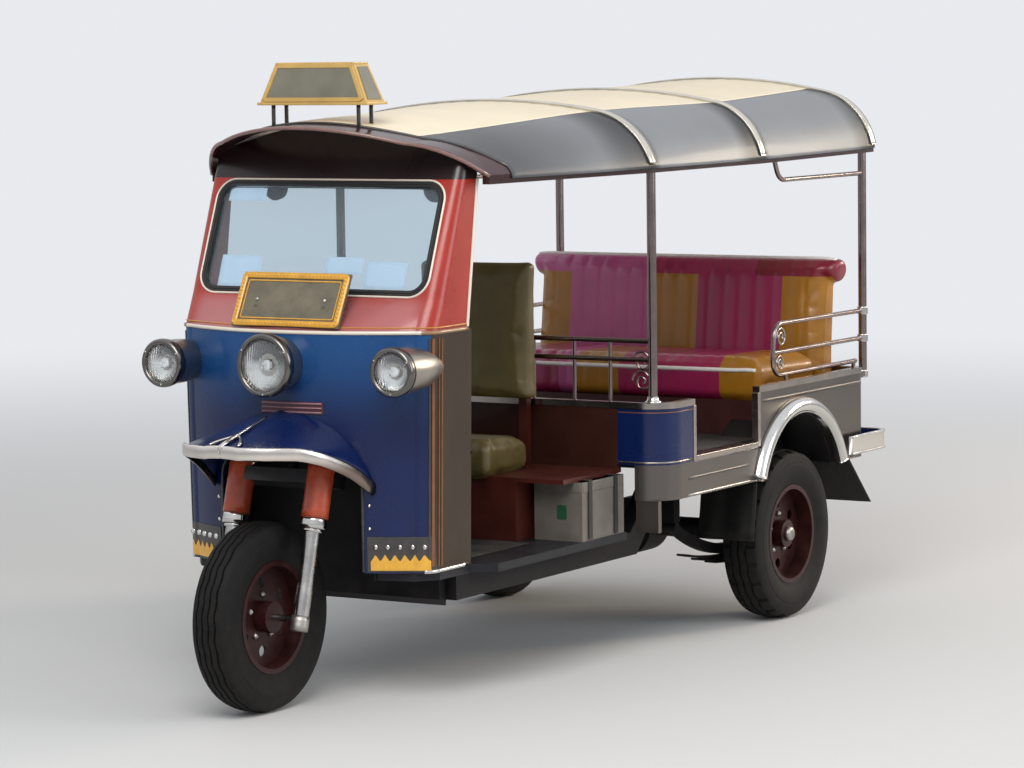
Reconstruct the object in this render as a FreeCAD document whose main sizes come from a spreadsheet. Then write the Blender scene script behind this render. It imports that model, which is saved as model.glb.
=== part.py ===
import FreeCAD, Part
import math
import os
import re
import Sketcher

# Three-wheeled auto rickshaw: driver's cab over one steered front wheel, open passenger tub on two rear wheels.
# Millimetres. +X is the vehicle's left, -Y its front, +Z up. Stations along Y count from the front axle, heights
# count from the ground, and every sub-part's Placement moves it so that Y = 0 is the middle of the length.

# name, size, what it measures
SIZES = [
    ("overall_length", 3150, "front of the front tyre to the rear bow"),
    ("wheelbase", 2252, "front axle to rear axle"),
    ("rear_track", 1090, "between the rear tyres' middles"),
    ("front_tyre_dia", 560, "front tyre outside"),
    ("front_tyre_width", 125, "front tyre section"),
    ("rear_tyre_dia", 568, "rear tyre outside"),
    ("rear_tyre_width", 145, "rear tyre section"),
    ("rim_dia", 312, "bead seat of every rim"),
    ("bead_height", 10, "flange above the bead seat"),
    ("bead_thick", 5, "flange and barrel plate"),
    ("shoulder_drop", 12, "tread shoulder below the crown"),
    ("disc_thick", 8, "wheel disc"),
    ("disc_hole_dia", 34, "hand holes of the disc"),
    ("disc_hole_ring", 206, "circle of the hand holes"),
    ("disc_hole_count", 6, "hand holes per wheel"),
    ("hub_dia", 92, "hub barrel"),
    ("front_hub_length", 96, "front hub along the axle"),
    ("rear_hub_inboard", 60, "rear hub inside the wheel's middle"),
    ("rear_hub_outboard", 42, "rear hub outside the wheel's middle"),
    ("front_axle_dia", 20, "front spindle"),
    ("rear_stub_dia", 34, "rear axle end"),
    ("running_gap", 0.05, "radial clearance of a turning fit"),
    ("rake", 16, "fork and steering axis, degrees from upright"),
    ("fork_half_spread", 140, "fork legs from the middle plane"),
    ("fork_trail_offset", 55, "steering axis behind the legs"),
    ("lower_leg_dia", 48, "chrome lower fork leg"),
    ("lower_leg_top", 268, "lower leg's top along the leg"),
    ("upper_leg_dia", 56, "painted upper fork shroud"),
    ("leg_collar_dia", 62, "chrome collar between the legs' halves"),
    ("leg_collar_height", 16, "chrome collar"),
    ("crown_base", 398, "crown's underside along the leg"),
    ("crown_height", 40, "crown plate"),
    ("stem_dia", 38, "steering stem"),
    ("stem_top", 782, "stem's top along the leg"),
    ("head_base", 492, "head tube's lower end along the leg"),
    ("head_top", 606, "head tube's upper end along the leg"),
    ("head_dia", 62, "head tube outside"),
    ("bar_dia", 22, "handlebar tube"),
    ("bar_half_width", 295, "handlebar end from the middle plane"),
    ("bar_sweep", 300, "handlebar end behind the legs"),
    ("bar_rise", 26, "handlebar end above its clamp"),
    ("bar_clamp_wall", 4, "metal around the bar in its clamp"),
    ("bar_knee_width", 171, "bar's bend, half width"),
    ("bar_knee_sweep", 108, "bar's bend, behind the stem's foot"),
    ("bar_clamp_width", 70, "straight middle of the bar"),
    ("bar_bend", 34, "bend radius of the bar"),
    ("grip_dia", 32, "rubber grip"),
    ("grip_share", 0.5, "rubber grip, as a share of the bar's swept end"),
    ("cab_base", 400, "underside of the cab's shell and top of the driver's floor"),
    ("cab_belt", 1105, "joint between the lower and upper cab"),
    ("cab_half_width", 449, "cab side at the belt"),
    ("cab_taper", 14, "cab narrower at its base, each side"),
    ("cab_nose", 130, "front of the cab at the belt"),
    ("cab_corner_front", 237, "where the front's curve meets the corner"),
    ("cab_corner_side", 300, "where the corner meets the side"),
    ("cab_corner_inset", 50, "corner's start inside the cab side"),
    ("cab_side_end", 470, "rear edge of the lower cab's side"),
    ("cab_wall", 18, "cab panel with its frame"),
    ("cab_colour_split", 262, "front panel's rear edge on the side"),
    ("wheel_cut_half", 250, "front wheel's cut-out, each side"),
    ("wheel_cut_top", 735, "top of the cut-out"),
    ("wheel_cut_radius", 70, "cut-out's upper corners"),
    ("sill_height", 1200, "lower edge of the windscreen"),
    ("sill_front", 283, "cowl's rear end at the sill"),
    ("screen_slope", 21.7, "windscreen from upright, degrees"),
    ("screen_half_width", 404, "windscreen opening, each side"),
    ("screen_length", 352, "windscreen opening along its slope"),
    ("screen_sill", 10, "opening above the sill, along the slope"),
    ("screen_corner", 58, "windscreen corner radius"),
    ("quarter_end_low", 444, "quarter panel's rear edge at the belt"),
    ("quarter_end_high", 516, "quarter panel's rear edge under the roof"),
    ("mirror_left", 321, "left mirror's half width"),
    ("mirror_right", 253, "right mirror's half width"),
    ("mirror_height", 1512, "mirrors' middles"),
    ("mirror_dia", 72, "mirror glass"),
    ("mirror_front", 482, "mirrors' front faces"),
    ("mirror_thick", 16, "mirror shells"),
    ("gasket_width", 15, "rubber around the glass"),
    ("glass_thick", 6, "windscreen glass"),
    ("well_half_width", 272, "wheel well outside, each side"),
    ("well_rear", 362, "wheel well's rear face"),
    ("well_top", 722, "wheel well's top"),
    ("well_sheet", 5, "wheel well's sheet"),
    ("hood_nose", -182, "tip of the hood"),
    ("hood_sheet", 6, "hood's sheet"),
    ("hood_ridge_front", 787, "ridge height at the tip"),
    ("hood_ridge_rear", 898, "ridge height inside the cab's face"),
    ("hood_edge_height", 783, "rim height at the tip"),
    ("hood_lip_dia", 17, "bright rim of the hood"),
    ("centre_lamp_dia", 184, "centre headlamp's rim"),
    ("centre_lamp_face", 36, "centre headlamp's front"),
    ("centre_lamp_height", 1014, "centre headlamp's middle"),
    ("side_lamp_dia", 142, "side headlamps' rim"),
    ("side_lamp_face", 91, "side headlamps' front"),
    ("side_lamp_height", 1003, "side headlamps' middle"),
    ("side_lamp_half_spread", 408, "side headlamps from the middle plane"),
    ("side_lamp_length", 250, "side headlamps' shell"),
    ("lamp_rim", 13, "lamp rim's width"),
    ("lens_dome", 12, "bulge of a lens"),
    ("plate_half_width", 190, "number plate, each side"),
    ("plate_height", 172, "number plate along its slope"),
    ("plate_thick", 8, "number plate with its frame"),
    ("plate_slope", 27, "number plate from upright, degrees"),
    ("plate_front", 154, "lower edge of the number plate"),
    ("plate_base", 1116, "lower edge of the number plate"),
    ("sign_half_base", 190, "roof sign's base, each side"),
    ("sign_half_top", 138, "roof sign's top, each side"),
    ("sign_base", 1772, "roof sign's underside"),
    ("sign_height", 120, "roof sign"),
    ("sign_front", 319, "roof sign's front at its base"),
    ("sign_depth", 100, "roof sign's base"),
    ("sign_lean", 12, "roof sign narrower at its top, front and rear"),
    ("sign_leg_dia", 9, "roof sign's legs"),
    ("brow_half_width", 500, "roof's half width over the cab"),
    ("brow_side", 500, "where the brow's curve meets the roof side"),
    ("brow_nose", 208, "front of the brow"),
    ("brow_depth", 105, "brow's band on the middle plane"),
    ("roof_sheet", 10, "roof skin"),
    ("mid_bow", 1315, "front bow's station"),
    ("second_bow", 2020, "middle bow's station"),
    ("bow_width", 30, "bow along the vehicle"),
    ("bow_proud", 8, "bow above the skin"),
    ("bow_depth", 14, "bow below the skin"),
    ("rail_width", 24, "roof side rail"),
    ("rail_height", 26, "roof side rail"),
    ("post_dia", 29, "roof posts"),
    ("floor_sheet", 25, "driver's floor"),
    ("floor_half_width", 500, "driver's floor and step, each side"),
    ("floor_rear", 1302, "driver's floor's rear edge"),
    ("rail_spread", 400, "chassis rails from the middle plane"),
    ("frame_width", 50, "chassis rail"),
    ("frame_height", 75, "chassis rail"),
    ("strut_dia", 32, "head tube's struts"),
    ("strut_spread", 262, "struts' half spread at the floor"),
    ("strut_gap", 66, "struts behind the wheel well"),
    ("strut_rise", 58, "struts' top above the well"),
    ("strut_bend", 40, "bend radius of the struts"),
    ("kick_start", 1500, "where the chassis rails begin to rise"),
    ("kick_end", 1720, "where the chassis rails are up"),
    ("tub_floor_top", 625, "passenger floor"),
    ("tub_floor_sheet", 25, "passenger floor"),
    ("tub_front", 1310, "passenger tub's front face"),
    ("tub_rear", 2745, "passenger tub's rear face"),
    ("tub_half_width", 640, "passenger tub, each side"),
    ("tub_wall", 20, "tub's walls"),
    ("tub_corner", 100, "tub's front corner radius"),
    ("tub_rear_corner", 40, "tub's rear corner radius"),
    ("tub_wall_top", 790, "tub's walls"),
    ("tub_skirt_base", 500, "tub's side skirts"),
    ("tub_corner_base", 612, "painted corner panels' lower edge"),
    ("tub_corner_inset", 466, "painted corner panels' inner edge"),
    ("door_front", 1500, "passenger entry's front edge"),
    ("door_rear", 1945, "passenger entry's rear edge"),
    ("cap_height", 20, "bright cap of the tub's walls"),
    ("cap_proud", 3, "cap beyond the wall, each side"),
    ("arch_radius", 300, "rear wheel arch"),
    ("arch_station", 2236, "wheel arch's middle"),
    ("arch_centre", 400, "wheel arch's middle height"),
    ("arch_sheet", 6, "wheel housing's sheet"),
    ("housing_inner", 446, "wheel housing's inboard face"),
    ("arch_trim_width", 26, "bright arch trim, radially"),
    ("arch_trim_thick", 18, "bright arch trim outside the tub"),
    ("seat_base_front", 2120, "passenger seat box's front"),
    ("seat_base_top", 742, "passenger seat box's top"),
    ("seat_half_width", 598, "passenger seat, each side"),
    ("cushion_front", 2082, "passenger cushion's front"),
    ("cushion_height", 130, "passenger cushion"),
    ("cushion_round", 28, "cushions' edge radius"),
    ("backrest_front", 2548, "passenger backrest's foot, front"),
    ("backrest_top", 1215, "passenger backrest's top"),
    ("backrest_lean", 58, "backrest's top behind its foot"),
    ("backrest_thick", 92, "passenger backrest"),
    ("bolster_dia", 104, "roll along the backrest's top"),
    ("bolster_half_width", 624, "half length of the roll"),
    ("soft_gap", 0.3, "between a cushion and what holds it"),
    ("driver_seat_front", 900, "driver's cushion's front"),
    ("driver_seat_rear", 1190, "driver's cushion's rear"),
    ("driver_seat_half", 235, "driver's cushion, each side"),
    ("driver_cushion_height", 95, "driver's cushion"),
    ("driver_back_top", 1265, "driver's backrest's top"),
    ("driver_back_base", 800, "driver's backrest's lower edge"),
    ("driver_back_thick", 78, "driver's backrest"),
    ("engine_box_half", 300, "seat box over the engine, each side"),
    ("engine_box_front", 960, "seat box's front"),
    ("engine_box_rear", 1300, "seat box's rear"),
    ("ledge_height", 585, "underside of the ledge on the seat box"),
    ("ledge_sheet", 14, "ledge"),
    ("ledge_half_width", 470, "ledge, each side"),
    ("battery_length", 262, "battery box along the vehicle"),
    ("battery_width", 176, "battery box"),
    ("battery_front", 1030, "battery box's front"),
    ("engine_half_width", 165, "engine block, each side"),
    ("engine_front", 1010, "engine block's front"),
    ("engine_rear", 1280, "engine block's rear"),
    ("engine_top", 560, "engine block's top"),
    ("engine_base", 236, "engine block's sump"),
    ("gearbox_dia", 132, "gearbox"),
    ("gearbox_rear", 1640, "gearbox's tail"),
    ("pipe_dia", 36, "exhaust pipe"),
    ("pipe_out", 70, "exhaust pipe beside the engine"),
    ("silencer_dia", 116, "silencer"),
    ("silencer_length", 400, "silencer behind the gearbox"),
    ("shaft_dia", 48, "propeller shaft"),
    ("axle_tube_dia", 70, "rear axle casing"),
    ("axle_half_length", 470, "rear axle casing's end"),
    ("diff_dia", 196, "differential casing"),
    ("spring_front", 1772, "leaf spring's front eye"),
    ("spring_rear", 2700, "leaf spring's rear eye"),
    ("spring_eye_height", 352, "leaf spring's eyes"),
    ("spring_pack", 36, "leaf pack's thickness"),
    ("bumper_rear", 2850, "rear bumper's rear face"),
    ("bumper_front", 2560, "bumper's side ends"),
    ("bumper_half_width", 680, "rear bumper, each side"),
    ("bumper_base", 523, "rear bumper's lower edge"),
    ("bumper_height", 62, "rear bumper"),
    ("bumper_thick", 12, "rear bumper's plate"),
    ("flap_top", 2612, "mud flap's upper edge"),
    ("flap_tip", 2792, "mud flap's lower edge"),
    ("flap_base", 333, "mud flap's lower edge"),
    ("flap_thick", 7, "mud flap"),
    ("handrail_dia", 16, "partition and arm rails"),
    ("rear_post_inset", 70, "rear posts ahead of the roof's end"),
    ("rear_post_base", 770, "foot of the rear posts, behind the tub's rear wall"),
    ("arm_reach", 672, "arm rails' front ahead of the rear posts"),
    ("arm_top", 1000, "arm rails' upper bar"),
    ("arm_middle", 905, "arm rails' middle bar"),
    ("arm_foot_dia", 14, "feet of the arm rail"),
    ("arm_low", 829, "arm rails' lower bar"),
    ("grab_height", 1476, "grab rail under the roof"),
    ("grab_reach", 673, "grab rail's front end ahead of the rear posts"),
    ("partition_high", 1003, "upper partition rail"),
    ("partition_low", 944, "lower partition rail"),
    ("tail_lamp_width", 120, "tail lamp"),
    ("tail_lamp_height", 72, "tail lamp"),
]

doc = FreeCAD.newDocument("AutoRickshaw")
sheet = doc.addObject("Spreadsheet::Sheet", "Sizes")
for row, (alias, size, meaning) in enumerate(SIZES, start=1):
    sheet.set("A%d" % row, alias)
    sheet.set("B%d" % row, str(size))
    sheet.set("C%d" % row, meaning)
    sheet.setAlias("B%d" % row, alias)
doc.recompute()

ALIASES = {alias for alias, size, meaning in SIZES}
STATION_SHIFT = "front_tyre_dia / 2 - overall_length / 2"
FRONT_HUB_HEIGHT = "front_tyre_dia / 2"
REAR_HUB_HEIGHT = "rear_tyre_dia / 2"
NODES = []


def formula(text):
    """Write the sheet's name in front of every size that a formula uses."""
    return re.sub(r"[a-z][a-z0-9_]*", lambda word: "Sizes." + word[0] if word[0] in ALIASES else word[0],
                  str(text))


def number(text):
    """What a formula comes to now, in millimetres or degrees."""
    return float(sheet.evalExpression(formula(text)))


def bind(thing, **properties):
    for name, text in properties.items():
        thing.setExpression(name, formula(text))
    return thing


def put(thing, x="0", y="0", z="0", axis=None, angle="0"):
    """Bind a Placement: a place, and a turn about one axis through it."""
    if axis:
        thing.Placement = FreeCAD.Placement(FreeCAD.Vector(), FreeCAD.Rotation(FreeCAD.Vector(*axis), 10))
        thing.setExpression(".Placement.Rotation.Angle", formula(angle))
    for letter, text in (("x", x), ("y", y), ("z", z)):
        thing.setExpression(".Placement.Base." + letter, formula(text))
    return thing


def part(label, thing):
    """Name a finished sub-part and move it from the front axle's station to the vehicle's middle."""
    thing.Label = label
    bound = {path.lstrip("."): text for path, text in thing.ExpressionEngine}
    here = bound.get("Placement.Base.y", "0")
    thing.setExpression(".Placement.Base.y", here + " + " + formula(STATION_SHIFT))
    NODES.append(thing)
    return thing


def box(name, x, y, z):
    """A block between two stations along each axis."""
    block = doc.addObject("Part::Box", name)
    length, width, height = ["%s - (%s)" % (end, start) for start, end in (x, y, z)]
    bind(block, Length=length, Width=width, Height=height)
    return put(block, x[0], y[0], z[0])


TURN_TO = {"X": ((0, 1, 0), "90"), "Y": ((1, 0, 0), "-90"), "Z": (None, "0")}


def rod(name, axis, radius, start, end, at):
    """A round bar along X, Y or Z; at gives its other two coordinates in X, Y, Z order."""
    bar = doc.addObject("Part::Cylinder", name)
    bind(bar, Radius=radius, Height="%s - (%s)" % (end, start))
    place = list(at)
    place.insert("XYZ".index(axis), start)
    turn, angle = TURN_TO[axis]
    return put(bar, *place, axis=turn, angle=angle)


def joined(kind, name, things):
    made = doc.addObject(kind, name)
    if kind in ("Part::Cut", "Part::Common"):
        made.Base, made.Tool = things
    elif kind == "Part::MultiFuse":
        made.Shapes = things
    else:
        made.Links = things
    return made


def cut(name, base, tool):
    return joined("Part::Cut", name, (base, tool))


def common(name, base, tool):
    return joined("Part::Common", name, (base, tool))


def fuse(name, *things):
    return joined("Part::MultiFuse", name, list(things))


def group(name, *things):
    return joined("Part::Compound", name, list(things))


def mirrored(name, thing):
    twin = doc.addObject("Part::Mirroring", name)
    twin.Source = thing
    twin.Normal = FreeCAD.Vector(1, 0, 0)
    return twin


def both_sides(name, thing):
    return group(name, thing, mirrored(name + "_right", thing))


def sketch(body, name, plane, steps, offset="0"):
    """A closed outline. A step is (u, v) for a straight side to that point, or (u, v, mid_u, mid_v) for an arc
    to it through the middle point. Each point is held by formulas."""
    outline = body.newObject("Sketcher::SketchObject", name)
    origin_plane = [item for item in body.Origin.OriginFeatures if item.Role == plane + "_Plane"][0]
    outline.AttachmentSupport = [(origin_plane, "")]
    outline.MapMode = "FlatFace"
    outline.setExpression(".AttachmentOffset.Base.z", formula(offset))
    points = [FreeCAD.Vector(number(step[0]), number(step[1]), 0) for step in steps]
    ends = []
    for place, step in enumerate(steps):
        start = points[place - 1]
        end = points[place]
        if len(step) == 2:
            line = outline.addGeometry(Part.LineSegment(start, end))
            ends.append((line, 1, 2))
            continue
        middle = FreeCAD.Vector(number(step[2]), number(step[3]), 0)
        anticlockwise = (middle - start).cross(end - middle).z > 0
        first, last = (start, end) if anticlockwise else (end, start)
        arc = outline.addGeometry(Part.Arc(first, middle, last))
        ends.append((arc, 1, 2) if anticlockwise else (arc, 2, 1))
    for place in range(len(steps)):
        curve, first, last = ends[place]
        following = ends[(place + 1) % len(steps)]
        outline.addConstraint(Sketcher.Constraint("Coincident", curve, last, following[0], following[1]))
    for place, step in enumerate(steps):
        hold(outline, ends[place][0], ends[place][2], step[0], step[1])
        if len(step) == 4:
            middle = FreeCAD.Vector(number(step[2]), number(step[3]), 0)
            mark = outline.addGeometry(Part.Point(middle), True)
            hold(outline, mark, 1, step[2], step[3])
            outline.addConstraint(Sketcher.Constraint("PointOnObject", mark, 1, ends[place][0]))
    return outline


def hold(outline, curve, end, u, v):
    """Fix one point of a sketch from its origin."""
    for kind, text in (("DistanceX", u), ("DistanceY", v)):
        constraint = outline.addConstraint(Sketcher.Constraint(kind, -1, 1, curve, end, number(text)))
        outline.setExpression("Constraints[%d]" % constraint, formula(text))


def prism(name, plane, steps, start, length):
    """An outline drawn out along its plane's normal, from start over length."""
    body = doc.addObject("PartDesign::Body", name)
    pad = body.newObject("PartDesign::Pad", name + "_pad")
    pad.Profile = sketch(body, name + "_outline", plane, steps, start)
    bind(pad, Length=length)
    body.Tip = pad
    return body


def turned(name, steps, role="X_Axis", plane="XZ"):
    """A half section turned about an axis of its plane."""
    body = doc.addObject("PartDesign::Body", name)
    outline = sketch(body, name + "_section", plane, steps)
    revolved = body.newObject("PartDesign::Revolution", name + "_turn")
    revolved.Profile = outline
    revolved.ReferenceAxis = (outline, ["H_Axis" if role == "X_Axis" else "V_Axis"])
    revolved.Angle = 360
    body.Tip = revolved
    return body


def spot(plane, u, v, station):
    """A point given on a plane that lies at a station along its normal."""
    u, v, station = number(u), number(v), number(station)
    return {"XY": FreeCAD.Vector(u, v, station), "XZ": FreeCAD.Vector(u, station, v)}[plane]


def lofted(name, plane, sections, ruled=True):
    """Outlines at several stations, skinned in order. A section is (station, steps), as for a sketch."""
    outlines = []
    for place, (station, steps) in enumerate(sections):
        points = [spot(plane, step[0], step[1], station) for step in steps]
        edges = []
        for at, step in enumerate(steps):
            if len(step) == 2:
                edges.append(Part.LineSegment(points[at - 1], points[at]).toShape())
            else:
                edges.append(Part.Arc(points[at - 1], spot(plane, step[2], step[3], station),
                                      points[at]).toShape())
        outline = doc.addObject("Part::Feature", "%s_section%d" % (name, place))
        outline.Shape = Part.Wire(edges)
        outlines.append(outline)
    skin = doc.addObject("Part::Loft", name)
    skin.Sections = outlines
    skin.Solid = True
    skin.Ruled = ruled
    return skin


def rounded(body, radius, chosen):
    """Fillet the edges of a body's last feature that chosen(edge) picks."""
    doc.recompute()
    base = body.Tip
    names = ["Edge%d" % (place + 1) for place, edge in enumerate(base.Shape.Edges) if chosen(edge)]
    fillet = body.newObject("PartDesign::Fillet", body.Name + "_round")
    fillet.Base = (base, names)
    bind(fillet, Radius=radius)
    body.Tip = fillet
    return body


def runs_along(edge, axis):
    """Whether a straight edge lies along a direction."""
    direction = edge.Vertexes[-1].Point - edge.Vertexes[0].Point
    return direction.Length > 0 and abs(direction.normalize().dot(FreeCAD.Vector(*axis))) > 0.999


def bent_tube(name, radius, points, bend):
    """A tube along straight runs joined by tangent arcs of one bend radius."""
    corners = [FreeCAD.Vector(*[number(value) for value in point]) for point in points]
    edges = []
    start = corners[0]
    for before, corner, after in zip(corners, corners[1:], corners[2:]):
        inward = (before - corner).normalize()
        outward = (after - corner).normalize()
        half_turn = (math.pi - inward.getAngle(outward)) / 2
        reach = number(bend) * math.tan(half_turn)
        middle_way = (inward + outward).normalize()
        centre = corner + middle_way * (number(bend) / math.cos(half_turn))
        arc_start = corner + inward * reach
        arc_end = corner + outward * reach
        arc_middle = centre - middle_way * number(bend)
        edges.append(Part.LineSegment(start, arc_start).toShape())
        edges.append(Part.Arc(arc_start, arc_middle, arc_end).toShape())
        start = arc_end
    edges.append(Part.LineSegment(start, corners[-1]).toShape())
    route = doc.addObject("Part::Feature", name + "_route")
    route.Shape = Part.Wire(edges)
    ring = doc.addObject("Part::Circle", name + "_ring")
    bind(ring, Radius=radius)
    ring.Placement = FreeCAD.Placement(corners[0], FreeCAD.Rotation(FreeCAD.Vector(0, 0, 1),
                                                                    corners[1] - corners[0]))
    tube = doc.addObject("Part::Sweep", name)
    tube.Sections = [ring]
    tube.Spine = (route, [])
    tube.Solid = True
    tube.Frenet = False
    return tube


# Tyres: a round-shouldered section on a bead seat, one in front and one each side behind.
def tyre(name, diameter, width):
    half_bead = "%s * 0.37" % width
    bead = "rim_dia / 2"
    bulge = "(rim_dia + %s) / 4" % diameter
    shoulder = "%s / 2 - shoulder_drop" % diameter
    half_tread = "%s * 0.39" % width
    return turned(name, [
        (half_bead, bead),
        (half_bead, bead + " + bead_height"),
        (half_tread, shoulder, width + " / 2", bulge),
        ("-(%s)" % half_tread, shoulder, "0", diameter + " / 2"),
        ("-(%s)" % half_bead, bead + " + bead_height", "-%s / 2" % width, bulge),
        ("-(%s)" % half_bead, bead),
    ])


# Rims: a barrel with flanges, a dished disc with hand holes, and the hub that turns on the axle.
def rim(name, width, hub_from, hub_to, axle_dia):
    half_bead = "%s * 0.37" % width
    edge = half_bead + " + bead_thick"
    bead = "rim_dia / 2"
    inside = bead + " - bead_thick"
    bore = axle_dia + " / 2 + running_gap"
    body = turned(name, [
        ("-(%s)" % edge, bead + " + bead_height"),
        ("-(%s)" % half_bead, bead + " + bead_height"),
        ("-(%s)" % half_bead, bead),
        (half_bead, bead),
        (half_bead, bead + " + bead_height"),
        (edge, bead + " + bead_height"),
        (edge, inside),
        ("disc_thick / 2", inside),
        ("disc_thick / 2", "hub_dia / 2"),
        (hub_to, "hub_dia / 2"),
        (hub_to, bore),
        ("-(%s)" % hub_from, bore),
        ("-(%s)" % hub_from, "hub_dia / 2"),
        ("-disc_thick / 2", "hub_dia / 2"),
        ("-disc_thick / 2", inside),
        ("-(%s)" % edge, inside),
    ])
    holes = body.newObject("Sketcher::SketchObject", name + "_hole")
    holes.AttachmentSupport = [([item for item in body.Origin.OriginFeatures if item.Role == "YZ_Plane"][0],
                                "")]
    holes.MapMode = "FlatFace"
    centre = FreeCAD.Vector(0, number("disc_hole_ring / 2"), 0)
    circle = holes.addGeometry(Part.Circle(centre, FreeCAD.Vector(0, 0, 1), number("disc_hole_dia / 2")))
    hold(holes, circle, 3, "0", "disc_hole_ring / 2")
    radius = holes.addConstraint(Sketcher.Constraint("Radius", circle, number("disc_hole_dia / 2")))
    holes.setExpression("Constraints[%d]" % radius, formula("disc_hole_dia / 2"))
    pocket = body.newObject("PartDesign::Pocket", name + "_pocket")
    pocket.Profile = holes
    pocket.Midplane = True
    bind(pocket, Length="disc_thick * 2")
    ring = body.newObject("PartDesign::PolarPattern", name + "_holes")
    ring.Originals = [pocket]
    ring.Axis = ([item for item in body.Origin.OriginFeatures if item.Role == "X_Axis"][0], [""])
    bind(ring, Occurrences="disc_hole_count")
    ring.Angle = 360
    body.Tip = ring
    return body


front_tyre = part("front_tyre", put(tyre("FrontTyre", "front_tyre_dia", "front_tyre_width"),
                                    z=FRONT_HUB_HEIGHT))
front_rim = rim("FrontRim", "front_tyre_width", "front_hub_length / 2", "front_hub_length / 2",
                "front_axle_dia")
part("front_rim", put(front_rim, z=FRONT_HUB_HEIGHT))
for side, sign, inboard, outboard in (("left", "", "rear_hub_inboard", "rear_hub_outboard"),
                                      ("right", "-", "rear_hub_outboard", "rear_hub_inboard")):
    station = sign + "rear_track / 2"
    rear_tyre = tyre("RearTyre" + side, "rear_tyre_dia", "rear_tyre_width")
    part("rear_tyre_" + side, put(rear_tyre, station, "wheelbase", REAR_HUB_HEIGHT))
    rear_rim = rim("RearRim" + side, "rear_tyre_width", inboard, outboard, "rear_stub_dia")
    part("rear_rim_" + side, put(rear_rim, station, "wheelbase", REAR_HUB_HEIGHT))

# Fork: everything that steers is drawn upright about the front spindle and leaned back by the rake.
def raked(thing):
    return put(thing, z=FRONT_HUB_HEIGHT, axis=(1, 0, 0), angle="-rake")


def legs(name, radius, start, end):
    leg = rod(name, "Z", radius, start, end, ("fork_half_spread", "0"))
    return leg, mirrored(name + "_right", leg)


spindle = rod("Spindle", "X", "front_axle_dia / 2", "-fork_half_spread", "fork_half_spread", ("0", "0"))
lower_legs = fuse("LowerLegs", spindle, *legs("LowerLeg", "lower_leg_dia / 2", "-30", "lower_leg_top"))
part("fork_lower_legs", raked(lower_legs))

crown = box("Crown", ("-fork_half_spread - upper_leg_dia / 2", "fork_half_spread + upper_leg_dia / 2"),
            ("-upper_leg_dia / 2", "fork_trail_offset + stem_dia"),
            ("crown_base", "crown_base + crown_height"))
collar_top = "lower_leg_top + leg_collar_height"
stem = rod("Stem", "Z", "stem_dia / 2", "crown_base", "stem_top", ("0", "fork_trail_offset"))
front_fork = fuse("FrontFork", crown, stem,
                  *legs("UpperLeg", "upper_leg_dia / 2", collar_top, "crown_base + crown_height + 14"),
                  *legs("LegCollar", "leg_collar_dia / 2", "lower_leg_top", collar_top))
part("front_fork", raked(front_fork))

bar_height = "stem_top + bar_clamp_wall + bar_dia / 2"
bar_end = ("bar_half_width", "bar_sweep", bar_height + " + bar_rise")
bar_knee = ("bar_knee_width", "bar_knee_sweep", bar_height)
bar_points = [("-bar_half_width", bar_end[1], bar_end[2]), ("-bar_knee_width", "bar_knee_sweep", bar_height),
              ("-bar_clamp_width", "fork_trail_offset", bar_height),
              ("bar_clamp_width", "fork_trail_offset", bar_height),
              bar_knee, bar_end]
handlebar = bent_tube("Bar", "bar_dia / 2", bar_points, "bar_bend")
clamp = box("BarClamp", ("-bar_clamp_width / 2", "bar_clamp_width / 2"),
            ("fork_trail_offset - bar_dia", "fork_trail_offset + bar_dia"),
            ("stem_top", "stem_top + bar_dia + 2 * bar_clamp_wall"))


def along_grip(share):
    """A point on the bar's swept end, as a share of the way from its knee to its tip."""
    return tuple("(%s) + ((%s) - (%s)) * (%s)" % (knee, tip, knee, share)
                 for knee, tip in zip(bar_knee, bar_end))


grip = bent_tube("Grip", "grip_dia / 2", [along_grip("1 - grip_share"), along_grip("1.02")], "bar_bend")
part("handlebar", raked(fuse("Handlebar", handlebar, clamp, both_sides("Grips", grip))))

# Cab shell, lower half: one curved form that narrows a little towards its base, and the same form inside its
# wall.
def cab_plan(inset, taper, rear):
    """The cab's plan at one height: curved front, rounded corners, straight sides."""
    side = "(cab_half_width - %s - %s)" % (inset, taper)
    turn = "(%s - cab_corner_inset)" % side
    front = "(cab_corner_front + %s)" % inset
    middle_x = "(%s - cab_corner_inset * 0.27)" % side
    middle_y = "(cab_corner_front + %s + (cab_corner_side - cab_corner_front) * 0.32)" % inset
    return [
        ("-" + side, rear),
        ("-" + side, "cab_corner_side + " + inset),
        ("-" + turn, front, "-" + middle_x, middle_y),
        (turn, front, "0", "cab_nose + " + inset),
        (side, "cab_corner_side + " + inset, middle_x, middle_y),
        (side, rear),
    ]


def lower_form(name, inset, rear):
    return lofted(name, "XY", [("cab_base", cab_plan(inset, "cab_taper", rear)),
                               ("cab_belt", cab_plan(inset, "0", rear))])


cab_outer = lower_form("CabOuter", "0", "cab_side_end")
cab_inner = lower_form("CabInner", "cab_wall", "cab_side_end + cab_wall")
cab_shell = cut("CabShell", cab_outer, cab_inner)
wheel_cut = rounded(prism("WheelCut", "XZ", [
    ("-wheel_cut_half", "cab_base - cab_wall"),
    ("wheel_cut_half", "cab_base - cab_wall"),
    ("wheel_cut_half", "wheel_cut_top"),
    ("-wheel_cut_half", "wheel_cut_top"),
], "-cab_corner_side", "cab_corner_side"), "wheel_cut_radius",
    lambda edge: runs_along(edge, (0, 1, 0)) and edge.BoundBox.ZMin > number("cab_base"))
open_shell = cut("OpenShell", cab_shell, wheel_cut)
side_region = box("SideRegion", ("-cab_half_width - 1", "cab_half_width + 1"),
                  ("cab_colour_split", "cab_side_end + 1"), ("cab_base - 1", "cab_belt + 1"))
part("cab_front_panel", cut("CabFrontPanel", open_shell, side_region))
part("cab_side_panels", common("CabSidePanels", open_shell, side_region))


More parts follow.
